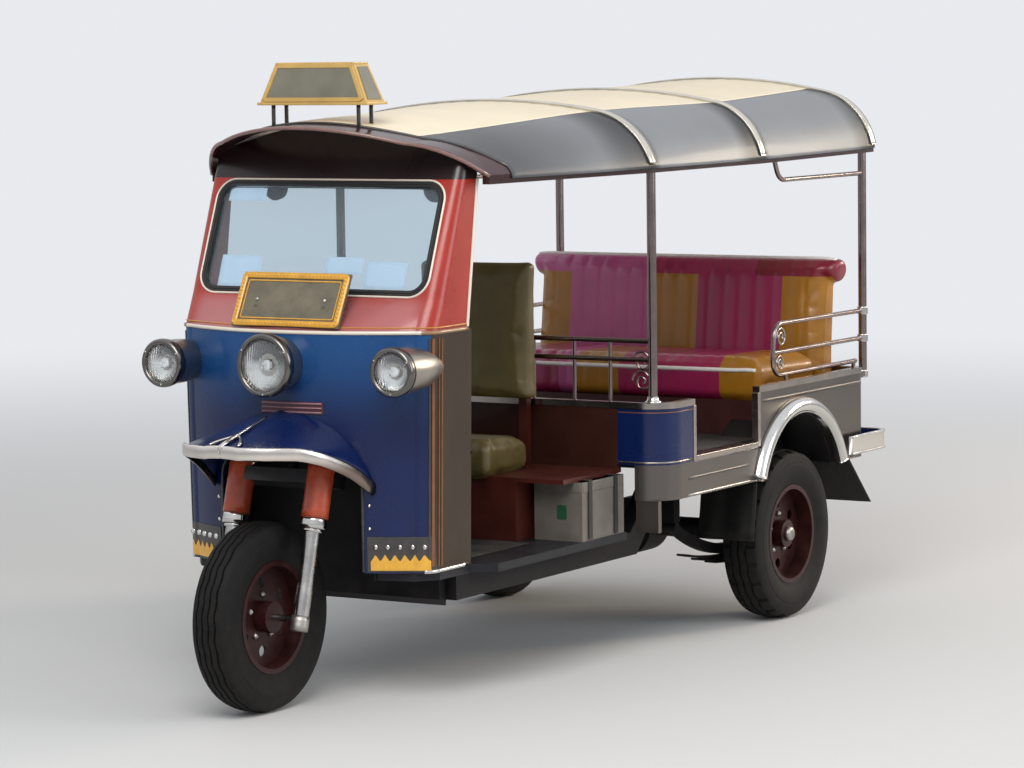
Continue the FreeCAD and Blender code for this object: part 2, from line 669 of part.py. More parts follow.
# Roof: an arched section at six stations. The skin lies between the outer form and the space under it.
# station, half width, edge height, shoulder x and z, quarter x and z, crown height
ROOF_STATIONS = [
    ("150", "brow_half_width - 30", "1552", "440", "1596", "320", "1650", "1702"),
    ("brow_side", "brow_half_width", "1556", "452", "1612", "335", "1668", "1722"),
    ("mid_bow", "brow_half_width + 95", "1560", "540", "1648", "400", "1719", "1753"),
    ("second_bow", "brow_half_width + 118", "1564", "566", "1664", "432", "1734", "1776"),
    ("overall_length - front_tyre_dia / 2", "brow_half_width + 118",
     "1575", "572", "1672", "436", "1752", "1799"),
]


def roof_section(rise, base, station):
    """One arch: rise moves it out of the skin's outer face, base is how far its foot hangs below the edge."""
    y, half, edge, shoulder_x, shoulder_z, quarter_x, quarter_z, crown_z = station
    half = "(%s + %s)" % (half, rise)
    foot = "%s - %s" % (edge, base)
    quarter_up = "(%s + %s * 0.95)" % (quarter_z, rise)
    shoulder = ("(%s + %s * 0.75)" % (shoulder_x, rise), "%s + %s * 0.65" % (shoulder_z, rise))
    return (y, [
        ("-" + half, foot),
        ("-" + half, edge),
        ("-" + quarter_x, quarter_up, "-" + shoulder[0], shoulder[1]),
        (quarter_x, quarter_up, "0", "%s + %s" % (crown_z, rise)),
        (half, edge, shoulder[0], shoulder[1]),
        (half, foot),
    ])


def roof_form(name, rise, base, stations=ROOF_STATIONS):
    return lofted(name, "XZ", [roof_section(rise, base, station) for station in stations])


roof_outer = roof_form("RoofOuter", "0", "2")
under_roof = roof_form("UnderRoof", "(0 - roof_sheet)", "600")
roof_skin = cut("RoofSkin", roof_outer, under_roof)
under_skin_top = roof_form("UnderSkinTop", "0", "600")
roof_end = "(overall_length - front_tyre_dia / 2)"


def bow_bands(name, rise, base):
    """The roof's form between two stations at each bow, as separate slices of one form."""
    whole = roof_form(name + "Form", rise, base)
    half = "bow_width / 2"
    slices = []
    for place, (start, end) in enumerate((("mid_bow - " + half, "mid_bow + " + half),
                                          ("second_bow - " + half, "second_bow + " + half),
                                          (roof_end + " - bow_width", roof_end))):
        slices.append(box("%sSlice%d" % (name, place), ("-900", "900"), (start, end), ("900", "2000")))
    return common(name, whole, fuse(name + "Slices", *slices))


bow_outside = bow_bands("BowOutside", "bow_proud", "2")
bow_inside = bow_bands("BowInside", "(0 - roof_sheet - bow_depth)", "700")
bows = cut("Bows", bow_outside, bow_inside)


def rail_section(station):
    """The side rail's two bars under the skin's edge at one station: one closed outline per side."""
    y, half, edge = station[:3]
    return (y, [
        ("(%s) - rail_width" % half, "%s - 2 - rail_height" % edge),
        (half, "%s - 2 - rail_height" % edge),
        (half, "%s - 2" % edge),
        ("(%s) - rail_width" % half, "%s - 2" % edge),
    ])


side_rail = lofted("SideRail", "XZ", [rail_section(station) for station in ROOF_STATIONS[1:]])
side_rails = both_sides("SideRails", side_rail)


def plan_block(name, back):
    """All that lies behind the brow's curved front, moved back by some depth."""
    side = "brow_side + " + back
    return prism(name, "XY", [
        ("-900", "3100"), ("-900", side), ("-brow_half_width", side),
        ("brow_half_width", side, "0", "brow_nose + " + back),
        ("900", side), ("900", "3100")], "900", "1100")


behind_nose = plan_block("BehindNose", "0")
behind_brow = plan_block("BehindBrow", "brow_depth")
trimmed_skin = common("TrimmedSkin", roof_skin, behind_nose)
part("visor_brow", cut("VisorBrow", trimmed_skin, behind_brow))
rear_skin = cut("RearSkin", common("SkinBehindBrow", trimmed_skin, behind_brow), bows)
# station, half width of the pale top
TOP_EDGE = [("150", "290"), ("mid_bow", "388"), ("second_bow", "443"), ("2900", "373")]
top_plan = prism("TopPlan", "XY", [("-" + half, y) for y, half in reversed(TOP_EDGE)]
                 + [(half, y) for y, half in TOP_EDGE], "900", "1100")
part("roof_canopy", common("RoofCanopy", rear_skin, top_plan))
part("roof_side_panels", cut("RoofSidePanels", rear_skin, top_plan))
part("roof_frame", fuse("RoofFrame", cut("BowsOverRails", bows, side_rails), side_rails))


# Cab shell, upper half: cowl, sloping front with the windscreen's opening, quarter panels and header.
def upper_form(name, inset, rear_extra):
    lean = "tan(screen_slope)"
    top = "1760"
    top_front = "(sill_front + (%s - sill_height) * %s)" % (top, lean)
    rear_low = "quarter_end_low + %s" % rear_extra
    rear_sill = "quarter_end_low + (quarter_end_high - quarter_end_low) * 0.2 + %s" % rear_extra
    rear_top = "quarter_end_high + (quarter_end_high - quarter_end_low) * 0.42 + %s" % rear_extra
    side = "(cab_half_width - %s)" % inset

    def flat_plan(front, corner, depth, rear):
        inner = "(%s - %s)" % (side, corner)
        front = "(%s + %s)" % (front, inset)
        behind = "(%s + %s)" % (front, depth)
        middle = ("(%s - %s * 0.29)" % (side, corner), "(%s + %s * 0.29)" % (front, depth))
        return [("-" + side, rear), ("-" + side, behind), ("-" + inner, front, "-" + middle[0], middle[1]),
                (inner, front), (side, behind, middle[0], middle[1]), (side, rear)]

    return lofted(name, "XY", [("cab_belt", cab_plan(inset, "0", rear_low)),
                               ("sill_height", flat_plan("sill_front", "50", "50", rear_sill)),
                               (top, flat_plan(top_front, "22", "22", rear_top))])


def screen_frame(thing):
    """Move a piece from the windscreen's own frame, u across and v up its slope, onto the cab."""
    return put(thing, y="sill_front", z="sill_height", axis=(1, 0, 0), angle="-screen_slope")


def screen_block(name, inset, front, depth):
    side = "screen_half_width - %s" % inset
    low = "screen_sill + %s" % inset
    high = "screen_sill + screen_length - %s" % inset
    block = prism(name, "XZ", [("-(%s)" % side, low), (side, low), (side, high), ("-(%s)" % side, high)],
                  "-(%s) - (%s)" % (front, depth), depth)
    return rounded(block, "screen_corner - %s" % inset, lambda edge: runs_along(edge, (0, 1, 0)))


upper_shell = cut("UpperShell", upper_form("UpperOuter", "0", "0"),
                  upper_form("UpperInner", "cab_wall", "60"))
opened_shell = cut("OpenedShell", upper_shell, screen_frame(screen_block("ScreenOpening", "0", "-60", "140")))
part("cab_upper_surround", common("UpperSurround", opened_shell, under_roof))
gasket_block = screen_block("GasketOutside", "0", "-5", "cab_wall + 10")
gasket_hole = screen_block("GasketInside", "gasket_width", "-60", "140")
part("windscreen_gasket", screen_frame(cut("Gasket", gasket_block, gasket_hole)))
part("windscreen_glass", screen_frame(screen_block("Glass", "gasket_width", "cab_wall / 2", "glass_thick")))

# Hood over the front wheel: a peaked shell from the cab's face to a bright rim.
# station, half width, ridge height, edge height
HOOD_STATIONS = [
    ("hood_nose", "26", "hood_ridge_front", "hood_edge_height - 2"),
    ("hood_nose + 30", "122", "hood_ridge_front + 11", "hood_edge_height - 1"),
    ("hood_nose + 92", "200", "hood_ridge_front + 28", "hood_edge_height - 3"),
    ("0", "244", "hood_ridge_front + 58", "hood_edge_height - 31"),
    ("80", "268", "hood_ridge_front + 86", "hood_edge_height - 70"),
    ("150", "287", "hood_ridge_rear", "hood_edge_height - 126"),
    ("235", "304", "hood_ridge_rear + 22", "hood_edge_height - 196"),
]


def hood_section(station, sheet, below):
    """A peaked arch at one station, thinner by the sheet, with its foot hanging below the rim."""
    y, half, ridge, edge = station
    half = "(%s - %s)" % (half, sheet)
    ridge = "(%s - %s)" % (ridge, sheet)
    shoulder = ("%s * 0.64" % half, "%s * 0.71 + (%s) * 0.29 + %s * 0.3" % (ridge, edge, sheet))
    foot = "%s - %s" % (edge, below)
    feet = [("-" + half, foot), (half, foot)] if below != "0" else []
    arch = [("-" + half, edge), ("0", ridge, "-" + shoulder[0], shoulder[1]),
            (half, edge, shoulder[0], shoulder[1])]
    return (y, feet[:1] + arch + feet[1:])


hood_outer = lofted("HoodOuter", "XZ", [hood_section(station, "0", "0") for station in HOOD_STATIONS])
hood_inner = lofted("HoodInner", "XZ",
                    [hood_section(station, "hood_sheet", "90") for station in HOOD_STATIONS[1:]])
hood_shell = cut("HoodShell", hood_outer, hood_inner)
hood = cut("FrontHood", hood_shell, cab_outer)
part("front_hood", hood)

# Headlamps: turned shells whose backs are cut to the cab's curve, with a domed lens behind each rim.
# name, x, face station, height, rim diameter, shell length, tail diameter as a share of the rim
LAMPS = [
    ("Centre", "0", "centre_lamp_face", "centre_lamp_height", "centre_lamp_dia", "150", "0.62"),
    ("Left", "side_lamp_half_spread", "side_lamp_face", "side_lamp_height", "side_lamp_dia",
     "side_lamp_length", "0.42"),
    ("Right", "-side_lamp_half_spread", "side_lamp_face", "side_lamp_height", "side_lamp_dia",
     "side_lamp_length", "0.42"),
]
buckets = []
lenses = []
for name, x, face, height, rim_dia, length, tail in LAMPS:
    rim_radius = rim_dia + " / 2"
    glass_radius = "(%s / 2 - lamp_rim)" % rim_dia
    bucket = turned(name + "Bucket", [
        (rim_radius, "6"),
        (rim_radius, "26"),
        (rim_radius + " * 0.93", "34"),
        ("%s / 2 * %s" % (rim_dia, tail), length, rim_radius + " * 0.82", length + " * 0.62"),
        ("0", length),
        ("0", "30"),
        (glass_radius, "20"),
        (glass_radius, "0"),
    ], role="Y_Axis", plane="XY")
    buckets.append(cut(name + "Lamp", put(bucket, x, face, height), cab_outer))
    lens = turned(name + "Lens", [
        (glass_radius + " - soft_gap", "14"),
        ("0", "14"),
        ("0", "4 - lens_dome"),
        (glass_radius + " - soft_gap", "4", glass_radius + " * 0.55", "4 - lens_dome * 0.69"),
    ], role="Y_Axis", plane="XY")
    lenses.append(put(lens, x, face, height))
part("headlamp_shells", group("HeadlampShells", *buckets))
part("headlamp_lenses", group("HeadlampLenses", *lenses))

# Number plate on its stays above the cowl, leaning back.
plate = prism("Plate", "XZ", [("-plate_half_width", "0"), ("plate_half_width", "0"),
                              ("plate_half_width", "plate_height"), ("-plate_half_width", "plate_height")],
              "0", "plate_thick")
put(plate, y="plate_front", z="plate_base", axis=(1, 0, 0), angle="-plate_slope")
stays = [rod("PlateStay%d" % place, "Y", "6", "plate_front + 20", "sill_front", (x, "sill_height - 24"))
         for place, x in enumerate(("-120", "120"))]
upper_outer = doc.getObject("UpperOuter")
front_plate = cut("FrontPlate", fuse("PlateOnStays", plate, *stays), upper_outer)
part("number_plate", front_plate)

# Roof sign: a lamp box narrower at its top, on four legs that stand on the roof's skin.
sign = doc.addObject("Part::Wedge", "Sign")
bind(sign, Xmin="-sign_half_base", Xmax="sign_half_base", X2min="-sign_half_top", X2max="sign_half_top",
     Ymin="0",
     Ymax="sign_height", Zmin="-sign_depth / 2", Zmax="sign_depth / 2", Z2min="sign_lean - sign_depth / 2",
     Z2max="sign_depth / 2 - sign_lean")
put(sign, "0", "sign_front + sign_depth / 2", "sign_base", axis=(1, 0, 0), angle="90")
sign_legs = [rod("SignLeg%d" % place, "Z", "sign_leg_dia / 2", "sign_base - 140", "sign_base", (x, y))
             for place, (x, y) in enumerate((x, y) for x in ("-sign_half_base * 0.8", "sign_half_base * 0.8")
                                            for y in ("sign_front + 16", "sign_front + sign_depth - 16"))]
part("roof_sign", cut("RoofSign", fuse("SignOnLegs", sign, *sign_legs), under_skin_top))


# Chassis: two rails that rise over the rear axle, cross members, and the head tube on its struts.
rail_top = "cab_base - floor_sheet"
rear_rail_top = "tub_floor_top - tub_floor_sheet"
frame_rail = prism("FrameRail", "YZ", [
    ("well_rear + 40", rail_top + " - frame_height"),
    ("kick_start", rail_top + " - frame_height"),
    ("kick_end", rear_rail_top + " - frame_height"),
    ("tub_rear - tub_wall - 25", rear_rail_top + " - frame_height"),
    ("tub_rear - tub_wall - 25", rear_rail_top),
    ("kick_end - 40", rear_rail_top),
    ("kick_start - 40", rail_top),
    ("well_rear + 40", rail_top),
], "rail_spread - frame_width / 2", "frame_width")
# station, top, depth as a share of the rail's
CROSS_MEMBERS = [("well_rear + 40", rail_top, "0.66"), ("engine_front - 80", rail_top, "0.66"),
                 ("kick_start - 80", rail_top, "0.27"), ("kick_end + 10", rear_rail_top, "0.66"),
                 ("tub_rear - tub_wall - 75", rear_rail_top, "0.66")]
members = [box("CrossMember%d" % place, ("-rail_spread", "rail_spread"), (y, y + " + 50"),
               ("%s - frame_height * %s" % (top, share), top))
           for place, (y, top, share) in enumerate(CROSS_MEMBERS)]
hangers = []
for name, eye in (("Front", "spring_front"), ("Rear", "spring_rear")):
    hanger = box("Hanger" + name, ("rail_spread - frame_width / 2", "rail_spread + frame_width / 2"),
                 (eye + " - 20", eye + " + 20"), ("spring_eye_height + 17",
                                                  rear_rail_top + " - frame_height / 2"))
    hangers += [hanger, mirrored("Hanger%sRight" % name, hanger)]
axis_line = ("0", "fork_trail_offset")
head_solid = raked(group("HeadTube", rod("HeadSolid", "Z", "head_dia / 2", "head_base", "head_top",
                                         axis_line)))
head_bore = raked(group("HeadOpening", rod("HeadBore", "Z", "stem_dia / 2 + running_gap", "head_base - 60",
                                           "head_top + 60", axis_line)))
strut_rear = "well_rear + strut_gap"
strut = bent_tube("Strut", "strut_dia / 2", [
    ("strut_dia * 0.4", "well_rear - frame_height * 1.9", "well_top + strut_rise"),
    ("strut_spread * 0.57", strut_rear + " - strut_dia * 0.45", "well_top + strut_rise * 0.7"),
    ("strut_spread * 0.9", strut_rear, "well_top - strut_rise"),
    ("strut_spread", strut_rear, rail_top + " - 20")], "strut_bend")
struts = both_sides("Struts", strut)
chassis = fuse("ChassisSolid", frame_rail, mirrored("FrameRailRight", frame_rail), head_solid, struts,
               *(members + hangers))
part("chassis_frame", cut("Chassis", chassis, head_bore))

# Driver's floor: one plate from the cab's corners back to the tub, cut out for the wheel and over the engine.
floor_top = "cab_base"
floor = prism("FloorPlate", "XY", [
    ("-well_half_width", "cab_corner_front - 26"),
    ("-well_half_width", "well_rear"),
    ("well_half_width", "well_rear"),
    ("well_half_width", "cab_corner_front - 26"),
    ("cab_half_width - cab_taper - cab_corner_inset", "cab_corner_front + 4"),
    ("cab_half_width - cab_taper - 2", "cab_corner_side"),
    ("cab_half_width - cab_taper - 2", "cab_side_end"),
    ("floor_half_width", "cab_side_end + 50"),
    ("floor_half_width", "floor_rear"),
    ("-floor_half_width", "floor_rear"),
    ("-floor_half_width", "cab_side_end + 50"),
    ("-cab_half_width + cab_taper + 2", "cab_side_end"),
    ("-cab_half_width + cab_taper + 2", "cab_corner_side"),
    ("-cab_half_width + cab_taper + cab_corner_inset", "cab_corner_front + 4"),
], floor_top + " - floor_sheet", "floor_sheet")
engine_hole = box("EngineHole", ("-engine_half_width - 20", "engine_half_width + 20"),
                  ("engine_front - 20", "engine_rear + 10"), ("cab_base - 100", "cab_base + 10"))
part("driver_floor", cut("DriverFloor", floor, group("FloorOpenings", engine_hole, struts)))

# Wheel well: a bent sheet box that keeps the front wheel's dirt out of the cab, open below and in front.
well_outside = box("WellOutside", ("-well_half_width", "well_half_width"), ("cab_nose - 40", "well_rear"),
                   ("cab_base - floor_sheet", "well_top"))
well_inside = box("WellInside", ("-well_half_width + well_sheet", "well_half_width - well_sheet"),
                  ("cab_nose - 60", "well_rear - well_sheet"), ("cab_base - 60", "well_top - well_sheet"))
well_form = common("WellInCab", cut("WellShell", well_outside, well_inside),
                   lofted("WellLimit", "XY", [("cab_base - 40",
                                               cab_plan("cab_wall", "cab_taper", "cab_side_end")),
                                              ("cab_base", cab_plan("cab_wall", "cab_taper", "cab_side_end")),
                                              ("cab_belt", cab_plan("cab_wall", "0", "cab_side_end"))]))
stem_hole = raked(group("StemOpening", rod("StemHole", "Z", "stem_dia / 2 + 12", "crown_base",
                                           "head_base + 40",
                                           axis_line)))
part("wheel_well", cut("WheelWell", well_form, stem_hole))

# Tray under the driver's feet, behind the wheel: a pressed pan with chamfered ends.
tray = prism("Tray", "YZ", [("well_rear + 2", rail_top), ("well_rear + 2", rail_top + " - 70"),
                            ("well_rear + 36", rail_top + " - 92"),
                            ("well_rear + 38", rail_top + " - frame_height"),
                            ("well_rear + 38", rail_top)], "-390", "780")
part("underbody_tray", tray)

# Dashboard: a shelf across the cab under the windscreen with a round instrument pod.
shelf = common("Shelf", box("ShelfBlock", ("-cab_half_width", "cab_half_width"),
                            ("cab_nose", "cab_side_end - 60"),
                            ("cab_belt - 36", "cab_belt - 12")), cab_inner)
pod = rod("Pod", "Y", "52", "cab_side_end - 150", "cab_side_end - 66", ("0", "cab_belt + 14"))
part("dashboard", fuse("Dashboard", shelf, pod))

# Driver's seat: a box over the engine, a wide ledge, two uprights, a cushion and a backrest.
box_outside = box("EngineBoxOutside", ("-engine_box_half", "engine_box_half"),
                  ("engine_box_front", "engine_box_rear"),
                  ("cab_base", "ledge_height"))
box_inside = box("EngineBoxInside", ("-engine_box_half + 8", "engine_box_half - 8"),
                 ("engine_box_front + 8", "engine_box_rear - 8"), ("cab_base - 5", "ledge_height"))
ledge = box("Ledge", ("-ledge_half_width", "ledge_half_width"), ("engine_box_front", "tub_front"),
            ("ledge_height", "ledge_height + ledge_sheet"))
ledge_top = "ledge_height + ledge_sheet"
uprights = [box("Upright%d" % place, (x, x + " + 30"), ("engine_box_rear - 34", "engine_box_rear - 8"),
                (ledge_top, "driver_back_top - 120")) for place, x in enumerate(("-160", "130"))]
part("driver_seat_base", fuse("DriverSeatBase", cut("EngineBox", box_outside, box_inside), ledge, *uprights))
driver_cushion = prism("DriverCushion", "YZ", [("driver_seat_front", ledge_top + " + soft_gap"),
                                               ("driver_seat_rear", ledge_top + " + soft_gap"),
                                               ("driver_seat_rear", ledge_top + " + driver_cushion_height"),
                                               ("driver_seat_front",
                                                ledge_top + " + driver_cushion_height + 12")],
                       "-driver_seat_half", "driver_seat_half * 2")
part("driver_seat_cushion", rounded(driver_cushion, "cushion_round", lambda edge: True))
back_rear = "engine_box_rear - 34 - soft_gap"
driver_back = prism("DriverBack", "YZ", [(back_rear + " - driver_back_thick", "driver_back_base"),
                                         (back_rear, "driver_back_base"), (back_rear, "driver_back_top"),
                                         (back_rear + " - driver_back_thick * 0.7", "driver_back_top")],
                    "-driver_seat_half + 15", "driver_seat_half * 2 - 30")
part("driver_seat_back", rounded(driver_back, "cushion_round * 0.7", lambda edge: True))

# Battery box on the step beside the seat box, with a strap over it.
battery = box("BatteryCase", ("floor_half_width - battery_width", "floor_half_width - 4"),
              ("battery_front", "battery_front + battery_length"), ("cab_base", "ledge_height"))
part("battery_box", battery)

# Engine block, gearbox and their mount between the rails.
block = box("Block", ("-engine_half_width", "engine_half_width"), ("engine_front", "engine_rear"),
            ("engine_base", "engine_top"))
mount_bar = box("EngineMount", ("-rail_spread + frame_width / 2", "rail_spread - frame_width / 2"),
                ("engine_front + 90", "engine_front + 150"),
                (rail_top + " - frame_height", rail_top + " - 24"))
gearbox = rod("Gearbox", "Y", "gearbox_dia / 2", "engine_rear", "gearbox_rear", ("0", REAR_HUB_HEIGHT))
part("engine_block", fuse("Engine", block, mount_bar, gearbox))

# Rear axle: casing, differential, turned ends for the wheels, propeller shaft.
hub_height = REAR_HUB_HEIGHT
casing = rod("Casing", "X", "axle_tube_dia / 2", "-axle_half_length", "axle_half_length",
             ("wheelbase", hub_height))
stub_end = "rear_track / 2 + rear_hub_outboard"
stub = rod("Stub", "X", "rear_stub_dia / 2", "-(%s)" % stub_end, stub_end, ("wheelbase", hub_height))
differential = rod("Differential", "Y", "diff_dia / 2", "wheelbase - diff_dia * 0.36",
                   "wheelbase + diff_dia * 0.36",
                   ("0", hub_height))
shaft = rod("PropellerShaft", "Y", "shaft_dia / 2", "gearbox_rear", "wheelbase", ("0", hub_height))
part("rear_axle", fuse("RearAxle", casing, stub, differential, shaft))

# Leaf springs under the axle casing, from a front eye to a rear eye.
spring_low = "%s - axle_tube_dia / 2 - spring_pack" % hub_height
spring_top = "%s - axle_tube_dia / 2" % hub_height
leaf = prism("Leaf", "YZ", [
    ("spring_front", "spring_eye_height"),
    ("spring_rear", "spring_eye_height", "wheelbase", spring_low),
    ("spring_rear", "spring_eye_height + 12"),
    ("spring_front", "spring_eye_height + 12", "wheelbase", spring_top),
], "rail_spread - frame_width / 2", "frame_width")
spring_eyes = [rod("SpringEye%d" % place, "X", "17", "rail_spread - frame_width / 2",
                   "rail_spread + frame_width / 2",
                   (eye, "spring_eye_height")) for place, eye in enumerate(("spring_front", "spring_rear"))]
part("leaf_springs", both_sides("LeafSprings", fuse("LeafSpring", leaf, *spring_eyes)))

# Exhaust: a pipe from the engine's right side to a silencer under the tub.
pipe_x = "-engine_half_width - pipe_out"
pipe_height = "engine_base + 40"
exhaust_pipe = bent_tube("ExhaustPipe", "pipe_dia / 2", [
    ("-engine_half_width + 10", "engine_rear - 60", pipe_height),
    (pipe_x, "engine_rear - 60", pipe_height),
    (pipe_x, "gearbox_rear", pipe_height)], "pipe_dia * 1.25")
silencer = rod("Silencer", "Y", "silencer_dia / 2", "gearbox_rear - 20", "gearbox_rear + silencer_length",
               (pipe_x, pipe_height))
part("exhaust", cut("Exhaust", fuse("ExhaustSolid", exhaust_pipe, silencer), block))


# Passenger tub: one rounded outline in plan, cut into the front wall, corner panels, stainless sides and rear.
def tub_plan(inset):
    """The tub's plan, moved in from its outer face."""
    side = "(tub_half_width - (%s))" % inset
    front = "(tub_front + (%s))" % inset
    rear = "(tub_rear - (%s))" % inset
    front_turn = "(tub_corner - (%s))" % inset
    rear_turn = "(tub_rear_corner - (%s))" % inset
    bend = " * (1 - sqrt(0.5))"
    return [
        ("%s - %s" % (side, front_turn), front),
        (side, "%s + %s" % (front, front_turn), side + " - " + front_turn + bend,
         front + " + " + front_turn + bend),
        (side, "%s - %s" % (rear, rear_turn)),
        ("%s - %s" % (side, rear_turn), rear, side + " - " + rear_turn + bend,
         rear + " - " + rear_turn + bend),
        ("-%s + %s" % (side, rear_turn), rear),
        ("-" + side, "%s - %s" % (rear, rear_turn), "-(%s - %s%s)" % (side, rear_turn, bend),
         rear + " - " + rear_turn + bend),
        ("-" + side, "%s + %s" % (front, front_turn)),
        ("-%s + %s" % (side, front_turn), front, "-(%s - %s%s)" % (side, front_turn, bend),
         front + " + " + front_turn + bend),
    ]


def tub_ring(name, outward, inward, low, high):
    outside = prism(name + "Outside", "XY", tub_plan("0 - %s" % outward), low, "%s - (%s)" % (high, low))
    inside = prism(name + "Inside", "XY", tub_plan(inward), low + " - 1", "%s - (%s) + 2" % (high, low))
    return cut(name, outside, inside)


tub_shell = tub_ring("TubShell", "0", "tub_wall", "tub_skirt_base", "tub_wall_top")
wide = ("-tub_half_width - 1", "tub_half_width + 1")
half_front = ("tub_front - 1", "door_front")
front_region = box("FrontRegion", ("-tub_corner_inset", "tub_corner_inset"), half_front,
                   ("ledge_height", "tub_wall_top"))
part("tub_front_panel", common("TubFrontPanel", tub_shell, front_region))
corner_region = both_sides("CornerRegion", box("CornerRegionLeft", ("tub_corner_inset", "tub_half_width + 1"),
                                               half_front, ("tub_corner_base", "tub_wall_top")))
part("tub_corner_panels", common("TubCornerPanels", tub_shell, corner_region))
skirt_region = box("SkirtRegion", ("tub_corner_inset + 60", "tub_half_width + 1"),
                   ("tub_front - 1", "tub_rear - tub_wall"), ("tub_skirt_base", "tub_corner_base"))
side_wall_region = box("SideWallRegion", ("tub_half_width - tub_corner", "tub_half_width + 1"),
                       ("door_rear", "tub_rear - tub_wall"), ("tub_skirt_base", "tub_wall_top"))
arch_hole = rod("ArchHole", "X", "arch_radius", "-tub_half_width - 60", "tub_half_width + 60",
                ("arch_station", "arch_centre"))
side_region_solid = fuse("StainlessRegion", skirt_region, side_wall_region)
bracket_drop = box("BracketDrop", ("tub_corner_inset + 64", "tub_half_width - 30"),
                   ("tub_front", "tub_front + tub_wall"), ("cab_base", "tub_skirt_base"))
left_side = cut("StainlessLeft", common("StainlessSheet", tub_shell, side_region_solid), arch_hole)
rear_half = box("RearRegion", wide, ("tub_rear - tub_wall", "tub_rear + 1"),
                ("tub_skirt_base", "tub_wall_top"))
part("tub_side_panels", both_sides("TubSidePanels", fuse("StainlessSide", left_side, bracket_drop)))
part("tub_rear_panel", common("TubRearPanel", tub_shell, rear_half))

cap_ring = tub_ring("CapRing", "cap_proud", "tub_wall + cap_proud", "tub_wall_top",
                    "tub_wall_top + cap_height")
door_gap = box("DoorGap", ("-tub_half_width - 60", "tub_half_width + 60"), ("door_front", "door_rear"),
               ("tub_wall_top - 20", "tub_wall_top + 60"))
part("tub_cap_rail", cut("TubCapRail", cap_ring, door_gap))

# Passenger floor, wheel housings and the bright arch trims.
inner_plan = prism("TubFloorPlate", "XY", tub_plan("tub_wall"), "tub_floor_top - tub_floor_sheet",
                   "tub_floor_sheet")
arch_line = ("arch_station", "arch_centre")
housing_form = rod("HousingForm", "X", "arch_radius", "housing_inner", "tub_half_width - tub_wall", arch_line)
housing_forms = both_sides("HousingForms", housing_form)
part("tub_floor", cut("TubFloor", inner_plan, housing_forms))
housing_inside = rod("HousingInside", "X", "arch_radius - arch_sheet", "housing_inner + arch_sheet",
                     "tub_half_width", arch_line)
above_skirt = box("AboveSkirt", ("housing_inner", "tub_half_width"),
                  ("arch_station - arch_radius", "arch_station + arch_radius"),
                  ("tub_skirt_base", "tub_wall_top"))
housing = common("Housing", cut("HousingShell", housing_form, housing_inside), above_skirt)
part("wheel_housings", both_sides("WheelHousings", housing))
trim_side = ("tub_half_width", "tub_half_width + arch_trim_thick")
trim_ring = cut("TrimRing", rod("TrimOutside", "X", "arch_radius + arch_trim_width", *trim_side, arch_line),
                rod("TrimInside", "X", "arch_radius - 2", "tub_half_width - 1", "tub_half_width + 60",
                    arch_line))
trim_region = box("TrimRegion", trim_side, ("arch_station - arch_radius * 1.2",
                                            "arch_station + arch_radius * 1.2"),
                  ("tub_skirt_base", "tub_wall_top"))
part("wheel_arch_trims", both_sides("WheelArchTrims", common("ArchTrim", trim_ring, trim_region)))

# Mud flaps behind the rear wheels, blown back a little from the tub's lower edge.
flap = prism("MudFlap", "YZ", [("flap_top", "tub_skirt_base"),
                               ("flap_top + flap_thick * 1.4", "tub_skirt_base"),
                               ("flap_tip", "flap_base"), ("flap_tip - flap_thick", "flap_base")],
             "housing_inner + 20", "tub_half_width - housing_inner - 20")
part("mud_flaps", both_sides("MudFlaps", flap))

# Rear bumper: a plate bent round the tub's rear corners, on two brackets.
def bumper_block(name, inset):
    half = "bumper_half_width - %s" % inset
    block = prism(name, "XY", [("-(%s)" % half, "bumper_front - %s" % inset),
                               (half, "bumper_front - %s" % inset),
                               (half, "bumper_rear - %s" % inset),
                               ("-(%s)" % half, "bumper_rear - %s" % inset)],
                  "bumper_base", "bumper_height")
    return rounded(block, "46 - %s" % inset, lambda edge: runs_along(edge, (0, 0, 1))
                   and edge.BoundBox.YMin > number("tub_rear"))


bumper_bar = cut("BumperBar", bumper_block("BumperOutside", "0"),
                 bumper_block("BumperInside", "bumper_thick"))
brackets = [box("BumperBracket%d" % place, (x, x + " + 50"), ("tub_rear", "bumper_rear - bumper_thick"),
                ("bumper_base + 8", "bumper_base + bumper_height - 8")) for place,
                x in enumerate(("-375", "325"))]
part("rear_bumper", fuse("RearBumper", bumper_bar, *brackets))
tail_lamp = box("TailLamp", ("tub_half_width - 70 - tail_lamp_width", "tub_half_width - 70"),
                ("tub_rear", "tub_rear + 26"), ("tub_wall_top - 40 - tail_lamp_height", "tub_wall_top - 40"))
part("tail_lamps", both_sides("TailLamps", tail_lamp))

# Passenger seat: a box over the wheel housings, a deep cushion and a leaning backrest.
seat_box = box("SeatBox", ("-seat_half_width", "seat_half_width"),
               ("seat_base_front", "tub_rear - tub_wall - 2"),
               ("tub_floor_top", "seat_base_top"))
part("passenger_seat_base", cut("SeatBase", seat_box, housing_forms))
cushion = prism("Cushion", "YZ", [("cushion_front", "seat_base_top + soft_gap"),
                                  ("backrest_front - soft_gap", "seat_base_top + soft_gap"),
                                  ("backrest_front - soft_gap", "seat_base_top + cushion_height - 8"),
                                  ("cushion_front", "seat_base_top + cushion_height")],
                "-seat_half_width + 12", "seat_half_width * 2 - 24")
part("passenger_seat_cushion", rounded(cushion, "cushion_round", lambda edge: True))
backrest = prism("Backrest", "YZ", [("backrest_front", "seat_base_top + soft_gap"),
                                    ("backrest_front + backrest_thick", "seat_base_top + soft_gap"),
                                    ("backrest_front + backrest_lean + backrest_thick * 0.8", "backrest_top"),
                                    ("backrest_front + backrest_lean", "backrest_top")],
                 "-seat_half_width", "seat_half_width * 2")
roll_radius = "bolster_dia / 2"
roll_end = "(bolster_half_width - cushion_round)"
